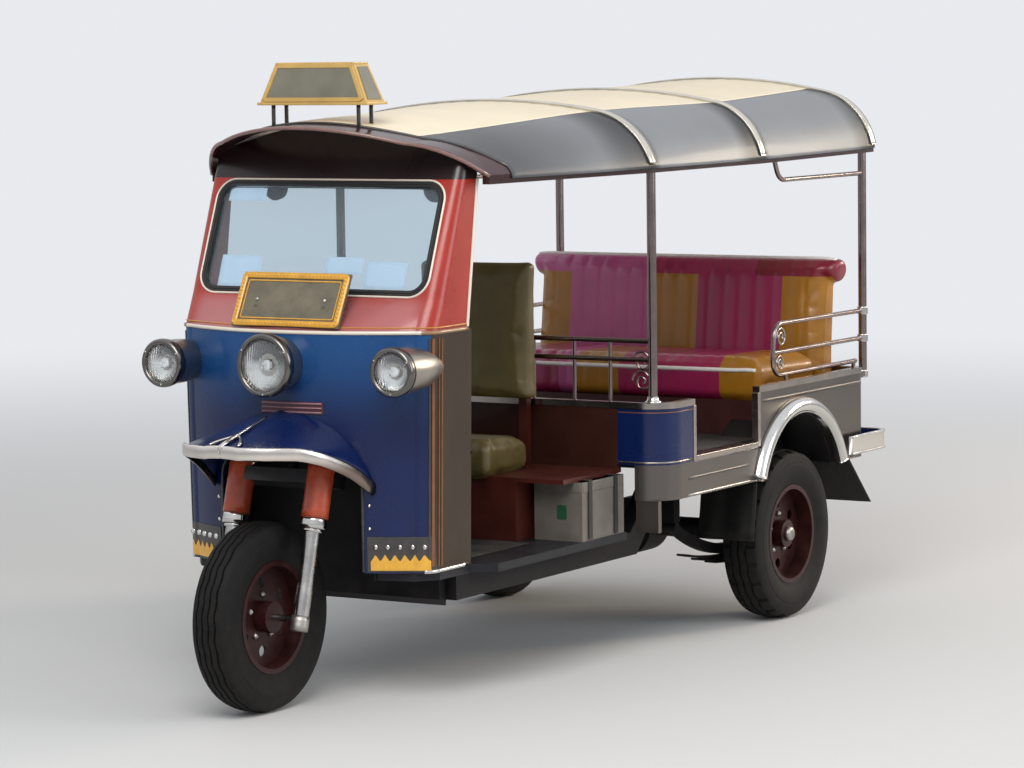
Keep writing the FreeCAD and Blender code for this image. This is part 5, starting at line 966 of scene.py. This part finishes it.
# station, half width, edge height, shoulder, quarter, crown
ROOF = [(0.150, 0.470, 1.552, (0.440, 1.596), (0.320, 1.650), 1.702),
        (0.500, 0.500, 1.556, (0.452, 1.612), (0.335, 1.668), 1.722),
        (1.315, 0.595, 1.560, (0.540, 1.648), (0.400, 1.719), 1.753),
        (2.020, 0.618, 1.564, (0.566, 1.664), (0.432, 1.734), 1.776),
        (2.870, 0.618, 1.575, (0.572, 1.672), (0.436, 1.752), 1.799)]
BOWS = (1.315, 2.020, 2.855)
sheet_end = 2.869


def roof_outline(half, edge, shoulder, quarter, crown):
    """Half of one arch, from the crown to the edge."""
    top = arc((-quarter[0], quarter[1]), (0.0, crown), quarter, 81)[40:]
    return top + arc(quarter, shoulder, (half, edge), 41)[1:]


roof_lines = [roof_outline(*station[1:]) for station in ROOF]
roof_grid = np.array([[tuple(p) for p in smooth_path([(line[k][0], station[0], line[k][1])
                                                      for line, station in zip(roof_lines, ROOF)], 241)]
                      for k in range(81)])


def roof_arch(y):
    """The arch's half outline at any station between the first and last."""
    here = np.clip(np.searchsorted(roof_grid[0, :, 1], y) - 1, 0, 239)
    t = (y - roof_grid[0, here, 1]) / (roof_grid[0, here + 1, 1] - roof_grid[0, here, 1])
    return roof_grid[:, here, ::2] * (1 - t) + roof_grid[:, here + 1, ::2] * t


def roof_height(x, y):
    half = roof_arch(y)
    return np.interp(abs(x), half[:, 0], half[:, 1])


def roof_spot(y, share_from, share_to, t):
    """A point of the arch between two half widths, evenly by length, at a station."""
    half = roof_arch(y)
    run = np.concatenate([[0], np.cumsum(np.hypot(*np.diff(half, axis=0).T))])
    first, last = np.interp((share_from, share_to), half[:, 0], run)
    here = first + (last - first) * t
    return np.interp(here, run, half[:, 0]), np.interp(here, run, half[:, 1])


def sheet_front(x):
    """Where the sheet meets the brow, which follows one arc in plan."""
    return 0.8871 - math.sqrt(max(0.5741 ** 2 - min(abs(x), 0.5) ** 2, 0.0))


def colour_line(y):
    return np.interp(y, (0.150, 1.315, 2.020, 2.900), (0.290, 0.388, 0.443, 0.373))


def sag(y, x):
    """The sheet dips a little between bows and puckers beside them."""
    ends = (0.50,) + BOWS
    for a, b in zip(ends, ends[1:]):
        if a <= y <= b:
            dip = 0.0022 * math.sin(math.pi * (y - a) / (b - a)) * (1 - (x / 0.65) ** 2)
            return dip + 0.0011 * math.exp(-min(y - a, b - y) / 0.05) * math.sin(x * 95 + y * 7)
    return 0.0


def roof_strip(inner, outer, count, hem):
    """Rows of points for the part of the sheet between two lines in plan, with or without a hem at its edge."""
    rows = []
    for t in np.linspace(0, 1, 121):
        row = []
        for share in np.linspace(0, 1, count):
            start = 0.45
            for again in range(4):
                start = sheet_front(roof_spot(start, inner(start), outer(start), share)[0])
            y = start + (sheet_end - start) * t
            x, z = roof_spot(y, inner(y), outer(y), share)
            row.append(at(x, y, z - sag(y, x)))
        if hem:
            row += [row[-1] + Vector((0.0012, 0, -0.005)), row[-1] + Vector((0.0014, 0, -0.014))]
        rows.append(row)
    return rows


def roof_sheet(name, rows, material, slot):
    """One sheet of the roof from its rows of points, given a thickness."""
    made = piece(name, (sum(rows, []), turned_over(grid_faces(len(rows), len(rows[0])))), material, slot)
    skin = made.modifiers.new("sheet", "SOLIDIFY")
    skin.thickness = 0.004
    skin.offset = -1.0
    return made


def mirrored(row):
    return [Vector((-p.x, p.y, p.z)) for p in reversed(row)]


def edge_of(y):
    return float(roof_arch(y)[-1, 0])


top_rows = roof_strip(lambda y: 0.0, colour_line, 25, False)
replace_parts(roof_sheet("canopy_top", [mirrored(row[1:]) + row for row in top_rows], beige_vinyl, "roof_beige"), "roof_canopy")
side_rows = roof_strip(colour_line, edge_of, 19, True)
for side, sign in SIDES:
    rows = side_rows if sign > 0 else [mirrored(row) for row in side_rows]
    side_sheet = roof_sheet("canopy_side_" + side, rows, grey_vinyl, "roof_grey")
    if sign > 0:
        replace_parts(side_sheet, "roof_side_panels")
    tube("canopy_piping_" + side, [Vector((sign * row[0].x, row[0].y, row[0].z + 0.001)) for row in side_rows], 0.0032,
         beige_vinyl, "roof_beige", sides=8)

roof_steel = finish("roof_steel", (0.70, 0.655, 0.57), 0.19, dust=0.10, metal=1.0, mottle=0.10, scale=12)
tree = roof_steel.node_tree
repaint(roof_steel, (0.030, 0.008, 0.009, 1), maths(tree, "LESS_THAN", position(tree)["Z"], 1.5635), keep_metal=False)
wear(roof_steel, "roof_frame")
for place, bow in enumerate(BOWS):
    behind = 0.020 if bow < 2.8 else 0.015
    cover = []
    for across, proud in ((-0.021, 0.0085), (-0.020, 0.0102), (0.0, 0.0118), (behind, 0.0102), (behind + 0.001, 0.0085),
                          (0.0, 0.0080)):
        half = roof_arch(min(bow + across, sheet_end))
        whole = np.concatenate([half[::-1] * (-1, 1), half[1:]])
        slope = np.gradient(whole, axis=0)
        slope /= np.linalg.norm(slope, axis=1, keepdims=True)
        cover.append([at(x - dz * proud, bow + across, z + dx * proud) for (x, z), (dx, dz) in zip(whole, slope)])
    count = len(cover[0])
    ends = [tuple(r * count for r in range(6)), tuple(r * count + count - 1 for r in range(5, -1, -1))]
    piece("bow_cover_%d" % place, (sum(cover, []), grid_faces(6, count, True) + ends), roof_steel, "chrome")
brow_radius = (0.292 ** 2 + 0.5 ** 2) / (2 * 0.292)
brow_edge = []
for x in np.linspace(-0.5, 0.5, 61):
    y = 0.208 + brow_radius - math.sqrt(brow_radius ** 2 - x * x)
    brow_edge.append(at(x, y - 0.001, roof_height(x, max(y, 0.151)) - 0.004))
# Painted highlight: the bead along the brow's edge is a lighter maroon than the brow.
brow_lip = finish("brow_lip", (0.20, 0.105, 0.090), 0.22, dust=0.12, coat=0.5, mottle=0.15, scale=20)
tube("brow_edge_bead", brow_edge, 0.0058, brow_lip, "maroon_paint", sides=10)
brow_seam = [at(x, sheet_front(x) + 0.001, roof_height(x, sheet_front(x)) + 0.001)
             for x in np.linspace(-0.499, 0.499, 61)]
tube("brow_seam_strip", brow_seam, 0.0045, plate_black, "black_rubber", sides=8)

# Driver's place: a shelf with a round dial under the screen, a ribbed mat on the floor plate, a seat box with a red
# ledge, and the battery on the step beside it.
dash_vinyl = finish("dash_vinyl", (0.020, 0.019, 0.019), 0.5, dust=0.12, relief=0.0003, mottle=0.15, scale=18,
                    grain=900)
floor_metal = finish("floor_black", (0.012, 0.013, 0.017), 0.42, dust=0.04, relief=0.0003, coat=0.04, mottle=0.3,
                     scale=10, Specular_IOR_Level=0.2)
ledge_red = finish("ledge_red", (0.070, 0.014, 0.009), 0.36, dust=0.05, relief=0.0001, coat=0.10, mottle=0.2, scale=12,
                   Specular_IOR_Level=0.25)
dark_vinyl = finish("olive_vinyl", (0.105, 0.078, 0.022), 0.40, dust=0.12, relief=0.0003, mottle=0.15, scale=14,
                    grain=800)
wear(dash_vinyl, "dashboard")
wear(floor_metal, "driver_floor")
wear(ledge_red, "driver_seat_base")
dial_profile = [(0.0, 0.0), (0.0, 0.046), (0.004, 0.050), (0.007, 0.052), (0.0095, 0.049), (0.0085, 0.0455),
                (0.003, 0.044), (0.003, 0.0)]
face_profile = [(0.0, 0.0), (0.0, 0.0435), (0.0006, 0.0435), (0.0006, 0.0)]
piece("dial_bezel", lathe(dial_profile, at(0, 0.4045, 1.119), "Y", 48), chrome, "chrome")
piece("dial_face", lathe(face_profile, at(0, 0.4082, 1.119), "Y", 48), dash_vinyl, "black_rubber")
needle = [at(0.028 * t * math.sin(-0.9), 0.4098, 1.119 + 0.034 * t * math.cos(-0.9)) for t in np.linspace(-0.2, 1, 6)]
tube("dial_needle", needle, 0.0011, cream_line, "chrome", (0, 1, 0), 6)
for name, x0, x1, y0, y1, z in (("foot_mat", -0.36, 0.36, 0.385, 0.94, 0.4005),
                                ("tub_mat", -0.585, 0.585, 1.36, 2.08, 0.6255)):
    mat = finish(name, (0.012, 0.012, 0.012), 0.55, dust=0.12, relief=0.0003, mottle=0.3, scale=12, dust_height=2.0)
    across = np.linspace(x0, x1, int((x1 - x0) / 0.009) * 2 + 1)
    points = [at(x, y, z + (0.0030 if place % 4 in (1, 2) and y0 < y < y1 else 0.0012))
              for y in (y0, y0 + 0.01, y1 - 0.01, y1) for place, x in enumerate(across)]
    ribbed = piece(name, (points, grid_faces(4, len(across))), mat, "black_rubber", smooth=False)
    ribbed.modifiers.new("sheet", "SOLIDIFY").thickness = 0.001
# The battery box is off-white, painted dark grey as painted shade.
shaded_battery_white = finish("shaded_battery_white", (0.140, 0.125, 0.108), 0.42, dust=0.15, relief=0.0001, mottle=0.15, scale=16)
wear(shaded_battery_white, "battery_box")
plate("battery_lid", oblong(0.322, 0.498, front_axle + 1.028, front_axle + 1.294, 0.012), 0.552, 0.585, shaded_battery_white,
      "white_paint", 0.003)
battery_green = finish("battery_green", (0.010, 0.080, 0.035), 0.4, dust=0.25, coat=0.3, mottle=0.1)
plate("battery_patch", oblong(0.406, 0.440, 0.468, 0.512, 0.004), front_axle + 1.0285, front_axle + 1.0305,
      battery_green, "plate_green", 0.0, "Y")
for place, y in enumerate((1.075, 1.235)):
    points = []
    for x, z in ((0.3225, 0.405), (0.3225, 0.5875), (0.4985, 0.5875), (0.4985, 0.405)):
        out_x, out_z = x + math.copysign(0.0025, x - 0.4), z + (0.0025 if z > 0.5 else 0)
        points += [at(x, y - 0.011, z), at(x, y + 0.011, z), at(out_x, y + 0.011, out_z), at(out_x, y - 0.011, out_z)]
    piece("battery_strap_%d" % place, (points, grid_faces(4, 4, False, True) + [(3, 2, 1, 0), (12, 13, 14, 15)]),
          grip_rubber, "black_rubber", smooth=False)

# Tub: a brown front wall between blue corner sheets, stainless sides with pressed ribs, a bright cap rail, arches and
# lower edge, black inner housings, flaps and a chromed bumper. A bright line and a thin gold one follow the corners.
tub_brown = finish("tub_brown", (0.040, 0.012, 0.008), 0.38, dust=0.04, relief=0.0001, coat=0.10, mottle=0.15, scale=9,
                   Specular_IOR_Level=0.15)
# The tub's stainless is given a dark colour, as a painted reflection of the dark road.
tub_steel = finish("tub_stainless", (0.165, 0.148, 0.136), 0.34, dust=0.06, metal=1.0, mottle=0.06, scale=4)
brushed(tub_steel, 380.0)
cap_steel = finish("cap_steel", (0.36, 0.32, 0.29), 0.24, dust=0.10, metal=1.0, mottle=0.06, scale=10)
flap_rubber = finish("flap_rubber", (0.009, 0.009, 0.009), 0.55, dust=0.05, relief=0.0004, mottle=0.25, scale=16,
                     grain=400, Specular_IOR_Level=0.18)
seat_box_paint = finish("seat_box_paint", (0.045, 0.010, 0.009), 0.4, dust=0.1, relief=0.0002, coat=0.1, mottle=0.2,
                        scale=10)
wear(tub_brown, "tub_front_panel")
wear(blue, "tub_corner_panels", "tub_rear_panel")
wear(tub_steel, "tub_side_panels")
wear(cap_steel, "tub_cap_rail")
wear(floor_metal, "tub_floor")
wear(chrome, "wheel_arch_trims", "rear_bumper")
wear(flap_rubber, "mud_flaps")
wear(seat_box_paint, "passenger_seat_base")


def tub_plan(out):
    """The tub's outline in plan from the left rear corner's start to the front middle, moved outwards."""
    side, front, rear, turn, back = 0.640 + out, 1.310 - out, 2.745 + out, 0.100 + out, 0.040 + out
    line = [(side - back + back * math.cos(a), rear - back + back * math.sin(a))
            for a in np.linspace(math.pi / 2, 0, 9)]
    line += straight((side, rear - back), (side, front + turn), 31)[1:]
    line += [(side - turn + turn * math.cos(a), front + turn + turn * math.sin(a))
             for a in np.linspace(0, -math.pi / 2, 13)][1:]
    return line + straight((side - turn, front), (0.466, front), 5)[1:]


# half round strips along the tub's outside: first and last station, height, width, how proud
for name, start, end, z, width, proud, material, slot in (
        ("corner_line_low", 1.300, 1.499, 0.620, 0.006, 0.0030, cap_steel, "chrome"),
        ("corner_gold_line", 1.300, 1.499, 0.778, 0.0030, 0.0015, amber_line, "sign_yellow"),
        ("side_rib_high", 1.962, 2.738, 0.760, 0.012, 0.0045, tub_steel, "stainless"),
        ("side_rib_front", 1.420, 1.914, 0.560, 0.010, 0.0040, tub_steel, "stainless"),
        ("skirt_edge", 1.420, 1.960, 0.505, 0.010, 0.0055, cap_steel, "chrome"),
        ("sill_edge", 1.470, 1.990, 0.612, 0.012, 0.0050, cap_steel, "chrome"),
        ("skirt_edge_rear", 2.50, 2.70, 0.505, 0.010, 0.0055, cap_steel, "chrome")):
    for side, sign in SIDES:
        line = [at(sign * x, y, z) for x, y in tub_plan(0.0004) if start <= y <= end]
        profile = [(sign * out, across) for out, across in half_round(width, proud)]
        piece("%s_%s" % (name, side), sweep(line, profile), material, slot)
FLARE = ((0.6400, 0.2985), (0.6560, 0.2985), (0.6655, 0.3050), (0.6715, 0.3160), (0.6720, 0.3265), (0.6680, 0.3370),
         (0.6590, 0.3455), (0.6480, 0.3500), (0.6405, 0.3505))
for side, sign in SIDES:
    for name, y in (("front", 1.500), ("rear", 1.945)):
        outline = oblong(front_axle + y - 0.009, front_axle + y + 0.009, 0.612, 0.790, 0.003, 2)
        plate("door_post_%s_%s" % (name, side), outline, sign * 0.6185, sign * 0.6425, cap_steel, "chrome", 0.0015, "X")
    sill = oblong(front_axle + 1.509, front_axle + 1.936, *sorted((sign * 0.585, sign * 0.6445)), 0.004, 2)
    plate("door_sill_" + side, [(v, u) for u, v in sill], 0.6125, 0.6285, cap_steel, "chrome", 0.002)
    points = [at(sign * x, 2.236 + reach * math.cos(a), 0.400 + reach * math.sin(a))
              for a in np.linspace(0.335, math.pi - 0.335, 73) for x, reach in FLARE]
    ends = [tuple(range(9)), tuple(range(72 * 9 + 8, 72 * 9 - 1, -1))]
    piece("arch_flare_" + side, (points, grid_faces(73, 9, False, True) + ends), chrome, "chrome")
    # The splash guards are black rubber sheets ahead of each rear wheel, and they also stand for the shade there, as
    # painted shade.
    guard = []
    for z in np.linspace(0.505, 0.305, 9):
        lag = ((0.505 - z) / 0.2) ** 1.6 * 0.030
        guard.append([at(sign * x, 1.944 - lag + 0.004 * math.cos(x * 60), z) for x in np.linspace(0.425, 0.630, 15)])
    faces = grid_faces(9, 15) if sign > 0 else turned_over(grid_faces(9, 15))
    shield = piece("splash_guard_" + side, (sum(guard, []), faces), flap_rubber, "black_rubber")
    shield.modifiers.new("sheet", "SOLIDIFY").thickness = 0.004
    tube("splash_guard_edge_" + side, guard[-1], 0.0045, flap_rubber, "black_rubber", sides=8)
    slant = Vector((0, 0.180, -0.167)).normalized()
    for rib in range(5):
        top = at(sign * (0.485 + rib * 0.034), 2.6175, 0.495)
        tube("flap_rib_%s_%d" % (side, rib), [top + slant * t for t in np.linspace(0.0, 0.232, 8)], 0.0030,
             flap_rubber, "black_rubber", (1, 0, 0), 8)

# Rear of the tub: a bright band, two lamps with ribbed red and amber lenses in black frames, a lidded locker's outline
# and a bumper plate with rolled edges.
lamp_red = bare("lamp_red", Base_Color=(0.42, 0.012, 0.010, 1), Roughness=0.12, Coat_Weight=0.6)
lamp_amber = bare("lamp_amber", Base_Color=(0.62, 0.20, 0.012, 1), Roughness=0.12, Coat_Weight=0.6)
flutes(lamp_red, 0.005, 0.0006)
flutes(lamp_amber, 0.005, 0.0006)
wear(grip_rubber, "tail_lamps")
for side, sign in SIDES:
    low, high = sorted((sign * 0.457, sign * 0.563))
    middle = (low + high) / 2
    for name, x0, x1, lens in zip(("stop", "turn"), (low, middle + 0.002), (middle - 0.002, high),
                                  (lamp_red, lamp_amber)[::sign]):
        plate("tail_%s_%s" % (name, side), oblong(x0, x1, 0.684, 0.744, 0.006, 4), front_axle + 2.764,
              front_axle + 2.7785, lens, "lamp_red", 0.004, "Y")
plate("rear_band", oblong(-0.600, 0.600, 0.600, 0.612, 0.003, 2), front_axle + 2.7445, front_axle + 2.7495, cap_steel,
      "chrome", 0.0015, "Y")
locker = [at(u, 2.7455, v) for u, v in oblong(-0.330, 0.330, 0.632, 0.768, 0.018)]
piece("locker_edge", sweep(locker, [(-0.004, 0.0), (0.004, 0.0), (0.003, 0.003), (-0.003, 0.003)], (0, 1, 0), True),
      cap_steel, "chrome", smooth=False)
handle = [at(x, y, 0.70) for x, y in ((-0.045, 2.745), (-0.043, 2.766), (0.043, 2.766), (0.045, 2.745))]
tube("locker_handle", smooth_path(handle, 17), 0.005, chrome, "chrome", sides=10)
for name, z in (("low", 0.5255), ("high", 0.5825)):
    half = [at(0.634 + 0.046 * math.sin(a), 2.803 + 0.046 * math.cos(a), z) for a in np.linspace(0.15, math.pi / 2, 7)]
    half += [at(0.680, y, z) for y in np.linspace(2.79, 2.565, 9)]
    level = [at(x, 2.849, z) for x in np.linspace(-0.632, 0.632, 21)]
    tube("bumper_roll_" + name, mirrored(half) + level + half, 0.0048, chrome, "chrome", sides=10)


# Passenger seat: a deep cushion and a leaning backrest in sewn vinyl, cut in magenta, ochre and crimson panels with
# upright pleats and white piping along the top and the front. The white piping also stands for the painted highlight
# along these edges.
def cut_panels(tree, share, bounds, colours):
    """Plain colours across the seat, with a hard change at each sewn line."""
    cut = add(tree, "ValToRGB", Fac=share)
    cut.color_ramp.interpolation = "CONSTANT"
    elements = cut.color_ramp.elements
    elements.remove(elements[-1])
    elements[0].position = 0.0
    elements[0].color = (*colours[0], 1)
    for edge, colour in zip(bounds, colours[1:]):
        elements.new((edge + 0.70) / 1.40).color = (*colour, 1)
    return cut.outputs["Color"]


def stripes(name, bounds, colours, roll_bounds=(), roll_colours=()):
    """Vinyl cut in panels across X, with other panels on a roll along the top."""
    material = finish(name, (0.5, 0.1, 0.1), 0.34, dust=0.05, relief=0.0003, mottle=0.10, scale=10, grain=850,
                      coat=0.25)
    tree = material.node_tree
    dusty = next(n for n in tree.nodes if n.type == "GROUP")
    across = add(tree, "SeparateXYZ", Vector=add(tree, "TexCoord").outputs["Object"]).outputs["X"]
    share = ramp(tree, across, -0.70, 0.70, smooth=False)
    lit = cut_panels(tree, share, bounds, colours)
    if roll_colours:
        above = maths(tree, "GREATER_THAN", position(tree)["Z"], 1.128)
        lit = mix(tree, above, lit, cut_panels(tree, share, roll_bounds, roll_colours))
    tree.links.new(lit, dusty.inputs["Colour"])
    return material


# Painted light: pink is the magenta painted lighter on the seat's left.
ochre, magenta, crimson, pink = (0.36, 0.150, 0.006), (0.32, 0.012, 0.080), (0.20, 0.007, 0.024), (0.48, 0.085, 0.250)
back_vinyl = stripes("striped_back_vinyl", (-0.58, -0.43, -0.10, 0.08, 0.41, 0.58),
                     (crimson, ochre, pink, ochre, magenta, ochre, crimson), (-0.10, 0.30), (pink, magenta, crimson))
cushion_vinyl = stripes("striped_cushion_vinyl", (-0.402, -0.223, -0.156, 0.014, 0.402),
                        (ochre, magenta, pink, ochre, magenta, ochre))
white_piping = finish("white_piping", (0.88, 0.82, 0.80), 0.38, dust=0.05, mottle=0.06, scale=30)


def shown_mesh(thing):
    return bpy.data.meshes.new_from_object(thing.evaluated_get(bpy.context.evaluated_depsgraph_get()))


def vertex_rows(mesh, what):
    flat = np.empty(len(mesh.vertices) * 3)
    mesh.vertices.foreach_get(what, flat)
    return flat.reshape(-1, 3)


def move_vertices(mesh, rows):
    mesh.vertices.foreach_set("co", rows.ravel())
    mesh.update()


def stuffed(name, node, voxel, inset, cap, material, pleats_face=None):
    """A stuffed cover: the cushion's solid drawn in a little, blown up from inside, then sewn along its pleats."""
    pad = bpy.data.objects.new(name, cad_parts[node].data.copy())
    scene.collection.objects.link(pad)
    remesh = pad.modifiers.new("even_cloth", "REMESH")
    remesh.mode = "VOXEL"
    remesh.voxel_size = voxel
    mesh = shown_mesh(pad)
    mesh.name = name
    pad.modifiers.clear()
    pad.data = mesh
    start = vertex_rows(mesh, "co")
    low, high = start.min(0), start.max(0)
    middle, half = (low + high) / 2, (high - low) / 2
    share = np.clip((start - middle) / half, -1, 1)
    drawn = start - share * inset
    move_vertices(mesh, drawn)
    cloth = pad.modifiers.new("stuffing", "CLOTH")
    cloth.settings.quality = 5
    cloth.settings.use_pressure = True
    cloth.settings.uniform_pressure_force = 4.0
    cloth.settings.effector_weights.gravity = 0.0
    cloth.point_cache.frame_start = 1
    cloth.point_cache.frame_end = 20
    for number in range(1, 21):
        scene.frame_set(number)
    blown = shown_mesh(pad)
    moved = vertex_rows(blown, "co") - drawn
    bpy.data.meshes.remove(blown)
    pad.modifiers.clear()
    scene.frame_set(1)
    far = np.linalg.norm(moved, axis=1, keepdims=True)
    drawn = drawn + moved * np.minimum(1.0, cap / np.maximum(far, 1e-9))
    move_vertices(mesh, drawn)
    if pleats_face:
        pitch, depth = 0.062, 0.0035
        normals = vertex_rows(mesh, "normal")
        across = np.abs(((drawn[:, 0] / pitch + 0.5) % 1.0) - 0.5) * pitch
        groove = np.exp(-(across / 0.006) ** 2) - 0.30 * np.exp(-((across - pitch / 2) / (pitch * 0.3)) ** 2)
        towards = np.clip(normals @ np.array(pleats_face), 0, 1)
        edge_free = np.clip((1 - np.abs(share[:, 0])) * half[0] / 0.03, 0, 1)
        move_vertices(mesh, drawn - normals * (groove * depth * towards * edge_free)[:, None])
    mesh.materials.clear()
    mesh.materials.append(material)
    mesh.shade_smooth()
    smoother = pad.modifiers.new("soft_form", "SUBSURF")
    smoother.levels = 1
    smoother.render_levels = 1
    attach(pad, "body")
    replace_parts(pad, node)
    return pad


def piping(name, thing, starts, towards, radius):
    """A cord sewn on a cover: its line is dropped onto the cover from outside."""
    cover = skin_of(thing)
    hits = [cover.ray_cast(start, towards)[0] for start in starts]
    line = [hit for hit in hits if hit]
    evened = [sum((line[max(0, min(len(line) - 1, k + d))] for d in (-2, -1, 0, 1, 2)), Vector()) / 5
              for k in range(len(line))]
    tube(name, evened, radius, white_piping, "striped_vinyl", (0, 0.3, 1), 10)


seat_cushion = stuffed("passenger_cushion", "passenger_seat_cushion", 0.011, 0.008, 0.024, cushion_vinyl,
                       (0, -0.55, 0.83))
seat_back = stuffed("passenger_backrest", "passenger_seat_back", 0.011, 0.007, 0.022, back_vinyl,
                    (0, -1, 0.1))
piping("back_piping_top", seat_back, [at(x, 2.630, 1.40) for x in np.linspace(-0.600, 0.600, 81)],
       Vector((0, 0, -1)), 0.0075)
piping("cushion_piping_front", seat_cushion, [at(x, 1.98, 0.960) for x in np.linspace(-0.565, 0.565, 81)],
       Vector((0, 0.115, -0.100)).normalized(), 0.0070)

# Driver's seat: a plain cushion and a narrow backrest in dark vinyl on two uprights, stuffed like the passenger's
# seat but without pleats.
stuffed("driver_cushion", "driver_seat_cushion", 0.008, 0.005, 0.016, dark_vinyl)
stuffed("driver_backrest", "driver_seat_back", 0.008, 0.005, 0.014, dark_vinyl)

# Posts and rails: polished steel tube from the cap rail to the roof, with flanged feet, two rails behind the driver
# with scrolls beside the posts, and three rails with a bowed end along each side of the seat.
tube_steel = finish("tube_steel", (0.27, 0.215, 0.205), 0.17, dust=0.08, metal=1.0, mottle=0.05, scale=14)
wear(tube_steel, "canopy_posts", "partition_rails", "passenger_rails")
flange, faces = lathe([(0.0, 0.0), (0.0, 0.026), (0.004, 0.027), (0.007, 0.021), (0.012, 0.0185), (0.020, 0.0165),
                       (0.020, 0.0)], (0, 0, 0), "Y", 32)
for side, sign in SIDES:
    foot = [at(sign * 0.583 + p.x, 1.332 + p.z, 0.8095 + p.y) for p in flange]
    piece("post_foot_mid_" + side, (foot, turned_over(faces)), chrome, "chrome")
    for name, z in (("high", 0.937), ("low", 0.875)):
        scroll = []
        for a in np.linspace(0, 1.7 * math.tau, 60):
            radius = 0.030 * (1 - a / (1.7 * math.tau)) + 0.006
            scroll.append(at(sign * (0.545 - radius * math.cos(a)), 1.332, z + radius * math.sin(a)))
        tube("rail_scroll_%s_%s" % (name, side), scroll, 0.004, tube_steel, "chrome", (0, 1, 0), 8)
    for name, y, z, wide in (("high", 2.174, 0.9525, 0.0345), ("low", 2.166, 0.867, 0.0270)):
        curl = []
        for t in np.linspace(0, 1, 56):
            radius, a = wide * (1 - 0.72 * t), t * 1.6 * math.tau
            curl.append(at(sign * 0.606, y - radius * math.cos(a), z + radius * math.sin(a)))
        tube("arm_scroll_%s_%s" % (name, side), curl, 0.0042, cap_steel, "chrome", (1, 0, 0), 8)
    for name, z in (("foot", 0.780), ("low", 0.905), ("high", 1.000)):
        clamp = [at(sign * 0.606, 2.800, z + up) for up in (-0.013, -0.010, 0.010, 0.013)]
        tube("post_clamp_%s_%s" % (name, side), clamp, 0.0185, chrome, "chrome", (1, 0, 0), 24)
scene.view_settings.view_transform = "Standard"
